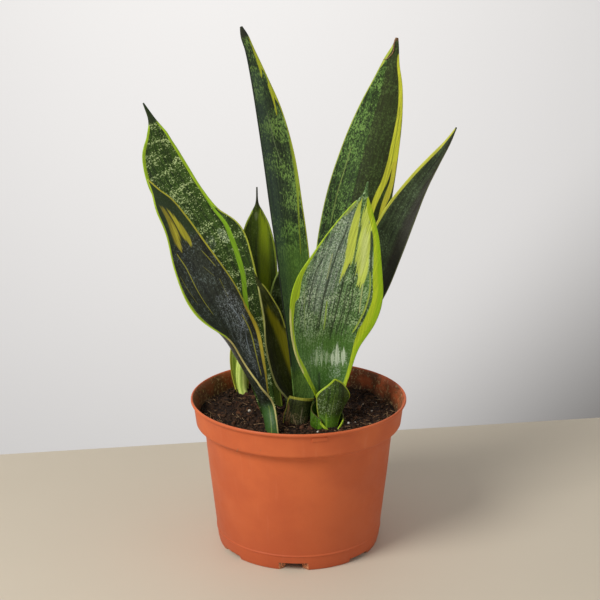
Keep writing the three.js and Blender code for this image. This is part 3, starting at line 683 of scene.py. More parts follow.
# %% Stations
LEAVES = {
    "leaf_far_left": ([3.2, 1.6], [
        [-14, -3, 72, 5, 5, 12, 60], [-22, 0, 98, 6.5, 6.5, 12, 55], [-31, 4, 135, 11, 11, 14, 42],
        [-40, 7, 168, 16, 15.5, 15, 32], [-49, 9, 194, 19.5, 19.5, 17, 26],
        [-57.5, 11, 213, 22.5, 21.5, 18, 24], [-67, 13, 228, 23, 14.8, 18, 24],
        [-76, 14, 243, 20.5, 12.5, 18, 24], [-86, 15, 259, 19, 12.8, 17, 24],
        [-93, 15, 274, 14.2, 11.5, 16, 24], [-96, 15, 286, 6.6, 8, 12, 20], [-98.6, 15, 296, 2.2, 3, 6, 8],
        [-103.5, 14, 307.5, 0.5, 0.5, 0, 0]]),
    "leaf_front_left": ([3.2, 1.6], [
        [-20.3, -35, 68, 7, 7, 120, 70], [-20, -36, 90, 8, 8, 118, 75], [-24, -26.5, 108, 10, 12, 110, 79],
        [-32, -27.5, 127, 12.5, 19, 93, 67], [-42, -29.5, 147, 14, 29, 91, 60],
        [-50.5, -32, 168, 24.5, 24, 72, 55], [-60, -35, 190, 24, 20.5, 51, 32],
        [-70.5, -35.5, 213, 17.5, 15.5, 42, 30], [-79, -37, 233, 10, 11.5, 42, 26],
        [-85.5, -38.5, 248, 8, 7.5, 38, 22], [-91, -40, 258, 3.2, 3.2, 20, 12],
        [-96, -40, 266.2, 0.5, 0.5, 0, 0]]),
    "leaf_back_left": ([2.8, 1.4], [
        [-14, 17, 72, 5, 5, 10, 55], [-18, 21, 100, 6, 6, 10, 50], [-23, 27, 132, 7, 7, 9, 40],
        [-27, 31, 160, 9, 11, 9, 34], [-29, 33, 184, 13.5, 14.5, 9, 30], [-29.5, 34, 206, 12.5, 13, 10, 28],
        [-29, 33.5, 220, 9, 9, 10, 24], [-28.8, 33, 229, 4.5, 4.5, 8, 16], [-28.8, 32, 236, 1.1, 1.1, 0, 4],
        [-28.8, 32, 247, 0.5, 0.5, 0, 0]]),
    "leaf_tall_left": ([3.4, 1.8], [
        [3, -6, 70, 7, 7, 14, 60], [3.5, -4, 100, 9, 7.5, 16, 50], [1.5, 1, 135, 10, 10, 20, 40],
        [-1.5, 6.5, 170, 12, 11.5, 22, 34], [-5, 9.5, 205, 12.5, 12.5, 23, 30],
        [-9.5, 12, 238, 12.5, 12.5, 23, 30], [-14, 13, 270, 12, 12, 24, 28],
        [-19.5, 11, 300, 10.2, 9.4, 24, 26], [-26, 8, 325, 6.7, 5.5, 24, 24], [-31.5, 6, 343, 4, 3, 26, 20],
        [-35, 4, 352, 2.8, 2.6, 20, 16], [-37.2, 3, 358.5, 0.9, 0.9, 10, 4]]),
    "leaf_tall_right": ([3.2, 1.7], [
        [18, 13, 70, 8, 8, 172, 60], [21, 17, 102, 10, 10, 172, 55], [24.5, 22, 135, 16, 16, 173, 45],
        [29, 28, 168, 21.5, 21, 171, 38], [34, 34, 201, 24.5, 24, 170, 34],
        [41, 38, 236, 24.2, 24.5, 168, 32], [48.3, 39.5, 268, 21.2, 21.5, 166, 30],
        [55.3, 38, 295, 16.4, 17.4, 164, 28], [60.2, 35, 316, 11, 12, 162, 26],
        [63, 32, 332, 5.4, 7, 160, 22], [65, 30, 343, 2.5, 2.5, 164, 12], [66, 30, 349, 0.9, 0.9, 170, 4]]),
    "leaf_front_right": ([3, 1.5], [
        [20, -12, 70, 7.5, 7.5, 14, 70], [20.5, -11, 100, 8.5, 8.5, 14, 62],
        [20, -8, 125, 19.5, 16, 14, 42], [19.5, -8, 148, 26.5, 24, 12, 28], [23, -11, 170, 31, 31, 10, 18],
        [27, -13, 188, 31, 31, 10, 14], [32, -13, 207, 24, 25, 10, 14], [37.5, -12, 226, 16, 17, 9, 14],
        [42, -11.5, 241.5, 8, 7.5, 6, 12], [44.2, -12, 250.5, 2, 2, 0, 4],
        [45.6, -12, 259.4, 0.5, 0.5, 0, 0]]),
    "leaf_right": ([3.2, 1.6], [
        [24, 1.5, 72, 6, 6, -14, 60], [26.5, 3, 104, 6.5, 6.5, -16, 50], [31.5, 6, 133, 7.5, 7.5, -20, 40],
        [39.5, 9.5, 158, 10, 10, -24, 34], [50.5, 12, 183, 13, 13.5, -25, 28],
        [59, 13.5, 207, 13.5, 14, -22, 26], [69, 14, 231, 11.3, 12, -18, 24],
        [80.5, 13, 252, 8, 7.7, -16, 22], [91, 12, 268, 5.2, 4.4, -14, 18],
        [99.5, 12, 281, 2.2, 2.4, -8, 8], [105.6, 12, 291.5, 0.5, 0.5, 0, 0]]),
    "leaf_centre": ([2.8, 1.4], [
        [0, 4, 72, 5, 5, 24, 60], [-1, 3, 98, 6, 6, 28, 52], [-10, 2, 120, 12, 8, 30, 44],
        [-15, 3, 143, 13, 9, 33, 38], [-17.8, 4, 161, 9.5, 7, 32, 34], [-21.3, 4, 173, 6.3, 4.5, 30, 26],
        [-24.6, 4, 181.5, 3.4, 2.6, 18, 16], [-27.8, 4, 187, 1.2, 1.2, 4, 6],
        [-29.9, 4, 192, 0.5, 0.5, 0, 0]]),
    "leaf_back_centre": ([2.6, 1.4], [
        [-1, 17, 72, 5, 5, 4, 50], [-5, 20, 100, 6, 6, 4, 45], [-11, 23, 130, 8, 8, 6, 36],
        [-13, 25, 156, 9.5, 8.5, 6, 30], [-10.5, 25.5, 178, 8.5, 7.5, 6, 26],
        [-5.5, 25, 195, 4.6, 4.6, 4, 18], [-2, 25, 205, 1.6, 1.6, 0, 6], [0, 25, 212, 0.5, 0.5, 0, 0]]),
    "sheath_centre": ([2, 1.2], [
        [-2, -16, 72, 8, 8, 190, 60], [-1.5, -16, 91, 10, 10, 190, 58], [0.5, -16, 100, 10.2, 10, 188, 54],
        [1.2, -16, 105.2, 9.4, 9.7, 188, 46], [1.9, -15.6, 109.5, 10.4, 8.5, 186, 38]]),
    "sheath_right": ([2, 1.2], [
        [21.8, -24, 72, 8, 8, 200, 68], [21.8, -25, 90, 8.5, 8.5, 200, 68],
        [22.3, -24.8, 98, 10.5, 9.5, 200, 62], [23.2, -24, 106, 13.5, 11.5, 199, 54],
        [24.5, -23, 113.5, 15, 12.5, 198, 44], [25, -22, 120, 8, 7, 196, 30],
        [24.7, -22, 125.5, 0.8, 0.8, 190, 4]]),
    "sheath_right_outer": ([1.8, 1.2], [
        [16, -7.2, 80, 32, 32, 20, 167], [16, -7.2, 86, 32, 32, 20, 167], [16, -7.2, 91, 31.5, 31, 20, 163],
        [16, -7.2, 95, 27.5, 25, 20, 137], [16, -7.2, 99, 25, 16, 20, 107], [16, -7.2, 103, 12, 9, 20, 55],
        [16, -7.2, 106, 4, 4.5, 20, 22]]),
    "pup_leaf_outer": ([2.2, 1.2], [
        [-34.5, 43.5, 76, 4, 4, 18, 60], [-41.8, 49.6, 92, 5.5, 5.5, 18, 56],
        [-43, 51.2, 104, 7.6, 7.6, 16, 46], [-43, 50.5, 118, 8.5, 8.5, 14, 38],
        [-42, 49, 132, 7, 7, 10, 30], [-40.5, 47.5, 143, 4.3, 4.3, 4, 20],
        [-39.3, 46.5, 151, 1.6, 1.6, 0, 8], [-38.6, 46, 157, 0.5, 0.5, 0, 0]]),
    "pup_leaf_inner": ([1.8, 1.1], [
        [-34, 36.5, 78, 3.2, 3.2, 188, 80], [-40.4, 42.8, 92, 4, 4, 188, 80],
        [-41.5, 44.5, 104, 5.2, 5.2, 188, 76], [-40, 43.5, 118, 5.5, 5.5, 188, 66],
        [-39.5, 42, 130, 4.2, 4.2, 188, 50], [-39, 41, 139, 2.2, 2.2, 188, 26],
        [-38.6, 40.5, 146, 0.5, 0.5, 188, 0]]),
}
print(len(LEAVES), "leaves and sheaths")

# %% Curve through the stations
def up_the_blade(stations, u):
    """Stations and directions at the shares u of a blade, on a smooth curve."""
    rows = np.array(stations, float)
    last = len(rows) - 1
    first = np.minimum((u * last).astype(int), last - 1)
    t = (u * last - first)[:, None]
    padded = np.vstack([2 * rows[0] - rows[1], rows, 2 * rows[-1] - rows[-2]])
    p0, p1, p2, p3 = (padded[first + k] for k in range(4))
    across, bend, twist = p2 - p0, 2 * p0 - 5 * p1 + 4 * p2 - p3, 3 * p1 - p0 - 3 * p2 + p3
    value = 0.5 * (2 * p1 + across * t + bend * t**2 + twist * t**3)
    slope = 0.5 * (across + 2 * bend * t + 3 * twist * t**2)
    run = slope[:, :3] / np.linalg.norm(slope[:, :3], axis=1)[:, None]
    return value, run


tip = up_the_blade(LEAVES["leaf_tall_left"][1], np.array([1.0]))[0][0]
print("tallest tip, mm:", [round(float(v), 1) for v in tip[:3]])

# %% Leaf maker
MARGIN = 0.9  # thickness of a leaf at its margin, mm
THINNEST = 0.4  # half the least width of a leaf, mm
ROUNDING = (0, 25, 55, 90)  # degrees at which the round of a margin has a point
MEASURES = ("length_mm", "across_mm", "left_mm", "right_mm")


def make_leaf(name, rows=180, columns=36):
    """A leaf as a closed mesh with its measures: mm up the blade, mm across it, and mm from
    each margin."""
    thickness, stations = LEAVES[name]
    u = np.linspace(0, 1, rows + 1)
    value, run = up_the_blade(stations, u)
    mid, (left, right) = value[:, :3], np.maximum(value[:, 3:5], THINNEST).T
    turn_face, curl = np.radians(value[:, 5]), np.radians(np.maximum(value[:, 6], 0))
    face = np.stack([np.sin(turn_face), -np.cos(turn_face), 0 * turn_face], 1)
    face -= run * (face * run).sum(1)[:, None]
    face /= np.linalg.norm(face, axis=1)[:, None]
    beside = np.cross(run, face)
    rate = curl / ((left + right) / 2) + 1e-7
    middle = thickness[0] + (thickness[1] - thickness[0]) * u
    length = np.concatenate([[0], np.cumsum(np.linalg.norm(np.diff(mid, axis=0), axis=1))])
    rim = np.minimum(MARGIN / 2, 0.9 * np.minimum(left, right))
    bends = [math.radians(a) for a in ROUNDING]
    slots = [("left", b) for b in bends]
    slots += [("middle", k / columns) for k in range(1, columns)]
    slots += [("right", b) for b in reversed(bends)]
    front, back, notes = [], [], []
    for kind, where in slots:
        if kind == "middle":
            reach, round_off = -(left - rim) + (left + right - 2 * rim) * where, 1.0
        else:
            inset, round_off = rim * (1 - math.cos(where)), math.sin(where)
            reach = -(left - inset) if kind == "left" else right - inset
        share = np.where(reach < 0, reach / left, reach / right)
        turn, sign = rate * np.abs(reach), np.where(reach < 0, -1.0, 1.0)
        point = mid + beside * (sign * np.sin(turn) / rate)[:, None]
        point += face * ((1 - np.cos(turn)) / rate)[:, None]
        out = face * np.cos(turn)[:, None] - beside * (sign * np.sin(turn))[:, None]
        half = (MARGIN + (middle - MARGIN) * (1 - share**2)) / 2 * round_off
        front.append(point + out * half[:, None])
        back.append(point - out * half[:, None])
        notes.append(np.stack([length, reach, left + reach, right - reach], 1))
    ring = [*front, *back[-2:0:-1]]
    ring_notes = [*notes, *notes[-2:0:-1]]
    points = np.stack(ring, 1).reshape(-1, 3) * MM
    measures = np.stack(ring_notes, 1).reshape(-1, 4)
    wide, whole = len(slots), len(ring)
    steps = [(i * whole, k, (k + 1) % whole) for i in range(rows) for k in range(whole)]
    faces = [(row + k, row + after, row + whole + after, row + whole + k) for row, k, after in steps]
    for end in (0, rows * whole):
        beyond = end + whole
        faces += [(end, end + 1, beyond - 1), (end + wide - 2, end + wide - 1, end + wide)]
        faces += [(end + k, end + k + 1, beyond - k - 1, beyond - k) for k in range(1, wide - 2)]
    made = piece(name + "_blade", points, faces)
    for label, numbers in zip(MEASURES, measures.T):
        made.data.attributes.new(label, "FLOAT", "POINT").data.foreach_set("value", numbers.copy())
    outward(made)
    made.data.shade_smooth()
    return made


leaves = {name: make_leaf(name) for name in LEAVES}
print("leaf faces:", sum(len(o.data.polygons) for o in leaves.values()))

# %% [markdown]
# ## The finish of a leaf
# The green of a snake plant has three layers: a deep ground with fine lengthwise veins, pale
# bands that cross it in ragged zigzags, and specks the size of sand grains that gather in
# those bands. Over them lie the lime margins and the stripes, patches and scratches that
# differ from leaf to leaf. The mesh carries its own measures in millimetres, so each such
# mark is a list of points: how far up the leaf, how far from the middle or from a margin, and
# half its width there. A Float Curve node joins the points smoothly.


# %% Marks
SPAN, REACH = 300.0, 60.0  # mm that a curve covers up the leaf, and to either side of nought
YELLOW, DARK, WHITE, BROWN = (188, 186, 58), (30, 42, 24), (206, 214, 200), (120, 88, 54)


def course(made, length, points):
    """A number in mm that follows points of (mm up the leaf, mm)."""
    curve = made.node("ShaderNodeFloatCurve", {"Value": made.sum("DIVIDE", length, SPAN)})
    line = curve.mapping.curves[0].points
    spots = [(along / SPAN, 0.5 + value / (2 * REACH)) for along, value in sorted(points)]
    line[0].location, line[-1].location = spots[0], spots[-1]
    for spot in spots[1:-1]:
        line.new(*spot)
    for point in line:
        point.handle_type = "AUTO_CLAMPED"
    curve.mapping.update()
    return made.sum("MULTIPLY_ADD", curve.outputs["Value"], 2 * REACH, -REACH)


def mark(tone, *points, of="across", soft=0.3, ragged=0.0, share=1.0, specked=False):
    """One mark of a leaf. points: (mm up the leaf, mm from the middle or margin, half width)."""
    tone = seen(*tone)
    return dict(tone=tone, points=points, of=of, soft=soft, ragged=ragged, share=share, specked=specked)


def specks(tone, *points, **how):
    """A mark that shows only as specks."""
    return mark(tone, *points, specked=True, **how)


def hatch(tone, share, *points):
    """A ragged stroke of a hatched patch."""
    return mark(tone, *points, soft=0.5, ragged=5, share=share)


def zone(tone, start, end, soft, share=1.0):
    """A tone over the leaf's whole width, between two heights."""
    rise = [(start - soft, 0, -soft), (start + soft, 0, soft)]
    fall = [(end - soft, 0, soft), (end + soft, 0, -soft)]
    return mark(tone, *rise, *fall, of="whole", soft=soft, share=share)


def margin(side, tone, *widths, soft=0.25):
    """A coloured margin. widths: (mm up the leaf, width there)."""
    return mark(tone, *[(along, 0.0, width) for along, width in widths], of=side, soft=soft)


def margins(tone, *widths):
    """The same coloured margin on both sides."""
    return [margin(side, tone, *widths) for side in ("left", "right")]


print("darkest tone of a mark:", DARK)


# %% Mask of a mark
def mark_mask(made, measures, row, frayed, fingers):
    """Where one mark lies, 0 to 1."""
    length, soft = measures["length"], row["soft"]
    if row["ragged"]:
        length = made.sum("MULTIPLY_ADD", fingers, row["ragged"], length)
    points = sorted(row["points"])
    half = [(along, width) for along, _, width in points]
    before, beyond, none = half[0][0] - 2 - soft, half[-1][0] + 2 + soft, -soft - 0.3
    half = [(before, none), *half, (beyond, none)]
    places = [(along, place) for along, place, _ in points]
    away = made.sum("MULTIPLY_ADD", frayed, 1.0 if row["ragged"] else 0.3, measures[row["of"]])
    if any(place for _, place in places):
        if len(places) == 1:
            places.append((places[0][0] + 1, places[0][1]))
        away = made.less(away, course(made, length, places))
    away = made.less(made.sum("ABSOLUTE", away), course(made, length, half))
    return made.step(away, soft, -soft, 0.0, row["share"])


def shade(tone, factor):
    """A tone that is lighter or darker by that factor."""
    return (*[min(c * factor, 1.0) for c in tone[:3]], 1)


print("masks ready")


# %% Plain look
# speck_size, jag, pitch, ridge and relief are mm, speck is a tone, specks_from is lower for
# more specks, and the others are strengths
PLAIN_LOOK = dict(
    sheen=0.27, lines=0.45, band=0.4, grooves=0.45, pits=0.6, gather=0.5, specks_from=0.09, dust=0.5,
    speck=(150, 166, 130), speck_size=(1.15, 1.5), jag=12, pitch=11, ridge=0.26, relief=0.16,
)
print("plain look:", len(PLAIN_LOOK), "values")


# %% Leaf finish
def leaf_finish(name, look):
    """The finish of a leaf, from the tones, strengths and marks of its look."""
    deep, mid, pale = (seen(*look[key]) for key in ("deep", "mid", "pale"))
    made = Finish(name, 0.4, Specular_IOR_Level=look["sheen"], Coat_Weight=0.04, Coat_Roughness=0.3)
    measures = {label[:-3]: made.measure(label) for label in MEASURES}
    measures["whole"] = 0.0
    length, across, seed = measures["length"], measures["across"], look["seed"]

    def grain(wide, tall, shift, detail=2.0, rough=0.55):
        """A noise whose cells are so many mm wide across the leaf and tall up it."""
        x, y = made.sum("DIVIDE", across, wide), made.sum("DIVIDE", length, tall)
        return made.noise(made.vector(x, y, seed * 7.3 + shift), 1.0, detail, rough)

    # the ground: veins, fine lines, pale bands that run in zigzags, dark grooves and pits
    veins = grain(1.9, 90.0, 0.0)
    fine = grain(0.75, 24.0, 3.0)
    fingers = made.times(made.less(grain(1.0, 60.0, 5.0, 1.0), 0.5), 2.0)
    wide, tall = look["speck_size"]
    mottle = grain(wide, tall, 11.0, 3.0, 0.62)
    grit = grain(wide * 0.5, tall * 0.45, 13.0, 2.0)
    zigzag = made.sum("MULTIPLY_ADD", grain(2.6, 9.0, 17.0, 3.0), look["jag"], length)
    x, y = made.sum("DIVIDE", across, 24.0), made.sum("DIVIDE", zigzag, look["pitch"])
    bands = made.noise(made.vector(x, y, seed + 7), 1.0, 2.0, 0.5)
    colour = made.mix(made.step(veins, 0.40, 0.60), shade(deep, 0.82), shade(mid, 1.03))
    colour = made.mix(made.step(fine, 0.40, 0.66, 0.0, look["lines"]), colour, shade(mid, 1.15))
    band = made.times(made.step(bands, 0.42, 0.60), look["band"])
    colour = made.mix(band, colour, shade(pale, 1.05))
    colour = made.mix(made.step(fine, 0.44, 0.35, 0.0, look["grooves"]), colour, shade(deep, 0.5))
    colour = made.mix(made.step(mottle, 0.48, 0.38, 0.0, look["pits"]), colour, shade(deep, 0.4))
    # specks: more of them where a pale band runs
    crowd = made.less(mottle, 0.5)
    crowd = made.sum("MULTIPLY_ADD", made.less(bands, 0.5), look["gather"], crowd)
    crowd = made.sum("MULTIPLY_ADD", made.less(grit, 0.5), 0.4, crowd)
    speck = made.step(crowd, look["specks_from"], look["specks_from"] + 0.07)
    colour = made.mix(made.times(speck, look["dust"]), colour, seen(*look["speck"]))
    # the marks, one over the other
    bright_bits = made.step(grit, 0.46, 0.60, 0.05, 1.0)
    frayed = made.sum("MULTIPLY_ADD", fine, 1.1, -0.55)
    streaks = made.step(fine, 0.34, 0.66)
    for row in look["marks"]:
        mask = mark_mask(made, measures, row, frayed, fingers)
        if row["specked"]:
            bits = made.times(bright_bits, made.step(mottle, 0.42, 0.6, 0.2, 1.0))
            mask = made.times(made.times(mask, bits), made.step(veins, 0.38, 0.58, 0.3, 1.0))
        tone = row["tone"]
        if row["soft"] < 1:
            tone = made.mix(streaks, shade(tone, 0.80), shade(tone, 1.10))
        colour = made.mix(mask, colour, tone)
    if "tip" in look:
        start, run, tone = look["tip"]
        tone = seen(*tone)
        dry = made.mix(streaks, shade(tone, 0.7), tone)
        colour = made.mix(made.step(length, start, start + run), colour, dry)
    rough = made.step(made.sum("ADD", fine, bands), 0.7, 1.3, 0.36, 0.52)
    normal = made.bump(veins, look["ridge"])
    normal = made.bump(fine, 0.10, normal)
    normal = made.bump(mottle, look["relief"], normal)
    return made.wire(Base_Color=colour, Roughness=rough, Normal=normal)


print("leaf finish ready")


# %% Paint a leaf
def paint(name, ground, *marks):
    """Gives a leaf its finish. The ground says what differs from the plain look, and a mark
    further down the list lies over those before it."""
    look = {**PLAIN_LOOK, **ground, "marks": marks}
    leaves[name].data.materials.append(leaf_finish(name + "_skin", look))
    print(name, "has", len(marks), "marks")


print("leaves to paint:", len(leaves))

# %% [markdown]
# ## What each leaf looks like
# One call a leaf: its three greens, how strong its bands and specks are, and its marks. Tones
# are given as they look on screen. The places, widths, soft edges and ragged ends of a mark
# are in millimetres, and its share says how much it covers, from 0 to 1.

# %% Paint the far left leaf
paint(
    "leaf_far_left",
    dict(seed=1, relief=0.22, deep=(34, 52, 12), mid=(56, 82, 22), pale=(78, 108, 36), band=0.4, pits=0.7,
        speck=(198, 214, 150), dust=0.8, specks_from=0.085, gather=0.65, pitch=5.2, jag=7,
        speck_size=(1.15, 0.95), tip=(238, 4, (40, 56, 24))),
    specks(WHITE, (147, -3, 3), (152, -2.5, 3.4), soft=1.2, share=0.7),
    specks((190, 204, 178), (146, 7.6, 2.2), (150, 7.5, 2.8), (153, 7.2, 2.2), soft=0.8, share=0.8),
    mark((128, 172, 30), (84, 2.4, 1), (100, 4.3, 1.5), (108, 5.8, 1.7), (118, 8.5, 1.7), (133, 10.5, 1.7),
        (147, 11.9, 1.6), (156, 13, 1.3), (169, 11.8, 0.9), (184, 11.4, 0.7)),
    margin("right", (176, 184, 62), (76, 1.2), (110, 1.1), (140, 1), (158, 0.7), (166, 0.8)),
    margin("right", (152, 184, 34), (168, 0.9), (176, 1.6), (205, 1.9), (228, 1.6), (240, 1)),
    margin("left", (150, 182, 32), (150, 1.6), (190, 2), (207, 2.3), (222, 2.3), (231, 1.7), (238, 1)),
)

# %% Paint the front left leaf
paint(
    "leaf_front_left",
    dict(seed=2, relief=0.24, deep=(34, 38, 30), mid=(52, 58, 44), pale=(68, 78, 62), band=0.25, pits=0.75,
        ridge=0.2, speck=(132, 146, 142), dust=0.45, specks_from=0.085, gather=0.3, speck_size=(1, 1.5)),
    zone((60, 98, 38), -20, 42, 9, share=0.8),
    zone((38, 58, 22), 172, 240, 7, share=0.8),
    specks((200, 212, 218), (92, 19.5, 1), (104, 18, 3.6), (116, 15.5, 3.6), (126, 13, 1.5), soft=2.2,
        share=0.95),
    specks((186, 198, 200), (64, 8, 3), (84, 11, 6), (104, 10, 7), (124, 6, 3), soft=3.5, share=0.7),
    mark((168, 182, 190), (86, 10, 0.1), (94, 15, 0.25), (101, 21, 0.1), share=0.85),
    mark((168, 182, 190), (104, 9, 0.1), (97, 16, 0.2), (91, 22, 0.1), share=0.85),
    mark((168, 182, 190), (96, 18, 0.1), (108, 15, 0.3), (118, 11, 0.1), share=0.85),
    mark((168, 182, 190), (74, 13, 0.1), (84, 17, 0.25), (92, 19, 0.1), share=0.8),
    mark((150, 170, 70), (22, -3.7, 0.15), (32, -5, 0.2), (42, -6.2, 0.15), share=0.6),
    mark((160, 150, 36), (167, -3.6, 0.6), (170, -4, 2), (176, -3.2, 2.8), (182, -2.5, 2.6),
        (190, -2.3, 1.6), (198, -2.7, 0.3), ragged=5, soft=0.9),
    mark((190, 182, 50), (167, -3.4, 0.3), (171, -3.6, 1.2), (177, -2.2, 1.3), (184, -1.4, 0.7), ragged=6,
        soft=0.7),
    mark((178, 172, 44), (166, 4.6, 0.6), (169, 4.2, 1.7), (175, 3.3, 2), (183, 2.2, 1.5), (190, 1.1, 0.9),
        (196, 0.2, 0.2), ragged=5, soft=0.6),
    mark((44, 48, 22), (168, 1.5, 0.3), (175, 0.7, 0.4), (185, 0.3, 0.35), (195, -0.8, 0.2), share=0.9),
    mark(YELLOW, (120, -6.3, 0.15), (138, -7.5, 0.3), (154, -6.9, 0.35), (166, -8.6, 0.3), share=0.9),
    mark(YELLOW, (133, -14.1, 0.1), (144, -15.4, 0.2), (153, -15.7, 0.1), share=0.6),
    mark(YELLOW, (146, 13.6, 0.15), (153, 11.6, 0.25), (159, 9.7, 0.15), share=0.65),
    mark(YELLOW, (141, 9.6, 0.1), (149, 5.9, 0.1), share=0.45),
    mark(YELLOW, (121, 13.1, 0.1), (136, 12.6, 0.15), share=0.5),
    mark(YELLOW, (60, 5, 0.35), (80, 6.6, 0.4), (104, 6, 0.35), of="right", share=0.8),
    margin("right", (196, 178, 56), (46, 0.9), (58, 1.6), (72, 2.5), (90, 2.6), (103, 1.8), (112, 1)),
    margin("right", (176, 172, 48), (110, 1), (130, 0.9), (170, 1.1), (200, 0.9), (224, 0.5)),
    margin("left", (206, 196, 122), (24, 0.9), (50, 1.1), (90, 0.9), (106, 1), (110, 1.1)),
    margin("left", (160, 186, 44), (108, 1), (113, 2.2), (124, 2.8), (134, 2.5), (144, 1.4), (160, 0.9),
        (200, 0.9), (224, 0.5)),
)

# %% Paint the back left and the tall left leaf
paint(
    "leaf_back_left",
    dict(seed=3, deep=(48, 62, 10), mid=(68, 88, 12), pale=(84, 106, 16), band=0.25, pits=0.3, dust=0.12,
        tip=(160, 8, (44, 48, 26))),
    mark((132, 152, 8), (84, 3.4, 1), (104, 4.8, 3), (132, 5.4, 3.8), (148, 5, 2.8), (158, 2.5, 1.2),
        soft=2.2, ragged=6, share=0.9),
    mark((136, 150, 26), (118, 6.2, 0.6), (135, 6.4, 0.8), (148, 5.6, 0.4), soft=0.9, share=0.25),
    mark((112, 124, 84), (155, -0.9, 0.8), (158, -0.9, 1.3), soft=0.9, share=0.7),
    *margins((142, 160, 48), (20, 0.8), (90, 0.9), (140, 1.1), (160, 0.8)),
)
paint(
    "leaf_tall_left",
    dict(seed=4, relief=0.22, deep=(36, 50, 28), mid=(54, 73, 40), pale=(80, 110, 50), band=0.6, pits=0.8,
        pitch=15, speck=(126, 160, 78), dust=0.75, specks_from=0.055, gather=0.8, speck_size=(1, 2.2),
        lines=0.5, tip=(284, 5, (46, 50, 36))),
    specks((104, 146, 62), (20, 3, 30), (120, 3, 30), (150, 3, 20), soft=5, share=0.9),
    zone((96, 134, 54), 30, 140, 16, share=0.55),
    specks((140, 176, 84), (30, 2, 20), (80, 2, 20), (120, 2, 14), soft=5, share=0.5),
    mark((62, 84, 74), (60, 2, 6), (260, 2, 6), of="left", soft=5, share=0.4),
    specks((86, 128, 40), (150, 3, 9), (157, 3, 9), soft=2.4, share=0.6),
    specks((78, 116, 44), (118, 3, 9), (124, 3, 9), soft=2.4, share=0.5),
    mark((118, 136, 92), (199, 1.6, 0.3), (217, -1.1, 0.35), (234, -1.7, 0.3), share=0.6),
    mark((132, 152, 44), (136, 6, 0.3), (158, 4.2, 0.45), (172, 2.7, 0.7), (186, 1.6, 1), (196, 1.3, 1),
        (212, 1, 0.7), of="right"),
    mark((168, 176, 40), (259, 3.8, 0.35), (264, 2.4, 0.8), (270, 1.6, 0.9), of="right"),
    mark((168, 176, 40), (232, 4.5, 0.35), (240, 3.2, 0.6), (246, 2.2, 0.9), (252, 1.5, 0.9), of="right"),
    margin("right", (170, 178, 42), (90, 0.6), (210, 0.7), (238, 0.8), (244, 1.9), (250, 2.1), (257, 0.9),
        (261, 0.8), (265, 1.8), (272, 2.1), (280, 1.2), (287, 0.5)),
    margin("left", (34, 46, 32), (60, 0.6), (286, 0.6)),
)


# %% Paint the tall right leaf
paint(
    "leaf_tall_right",
    dict(seed=5, deep=(37, 54, 18), mid=(57, 86, 32), relief=0.24, pale=(76, 112, 40), band=0.24, pits=0.9,
        grooves=0.55, lines=0.55, speck=(132, 172, 84), dust=0.6, specks_from=0.05, gather=0.4,
        speck_size=(1, 1.6), tip=(283, 3, BROWN)),
    # painted shade: the half of the blade beyond its fold is darker, as it faces away from the light
    mark((46, 52, 24), (40, -27, 30.3), (150, -27, 30.6), (244, -27, 30.2), (290, -27, 28.5), soft=1.4,
        share=0.72),
    mark((38, 56, 22), (150, 6, 0.8), (200, 6.4, 0.9), (240, 5.6, 0.6), soft=0.8, share=0.5),
    mark((132, 152, 76), (150, 15.3, 0.3), (172, 15.1, 0.4), (194, 13.5, 0.4), (204, 13.2, 0.3), share=0.8),
    mark((208, 210, 60), (140, 15, 0.4), (155, 14, 1.2), (169, 12.5, 1.7), (177, 10.8, 2), (188, 7.6, 2.1),
        (204, 4.8, 2.3), (210, 3.6, 2.6), of="left"),
    mark((212, 208, 64), (145, 7, 0.4), (160, 6.5, 1.2), (170, 5.6, 1.7), (178, 4, 2), (189, 2.2, 1.6),
        (206, 1.8, 1.9), of="left"),
    mark((214, 218, 62), (204, 3.8, 3.3), (211, 3.4, 3.2), (225, 2.8, 2.3), (238, 1.9, 1.8),
        (258, 1.2, 1.3), (275, 0.2, 0.7), of="left"),
    mark((128, 142, 42), (200, 4.6, 0.25), (220, 3.4, 0.35), (240, 2.2, 0.3), of="left", share=0.7),
    margin("left", (120, 124, 70), (60, 0.6), (180, 0.7), (206, 0.5)),
    margin("right", (172, 186, 72), (60, 0.8), (150, 1), (262, 1.1), (266, 2), (274, 2.2), (280, 1.2)),
)

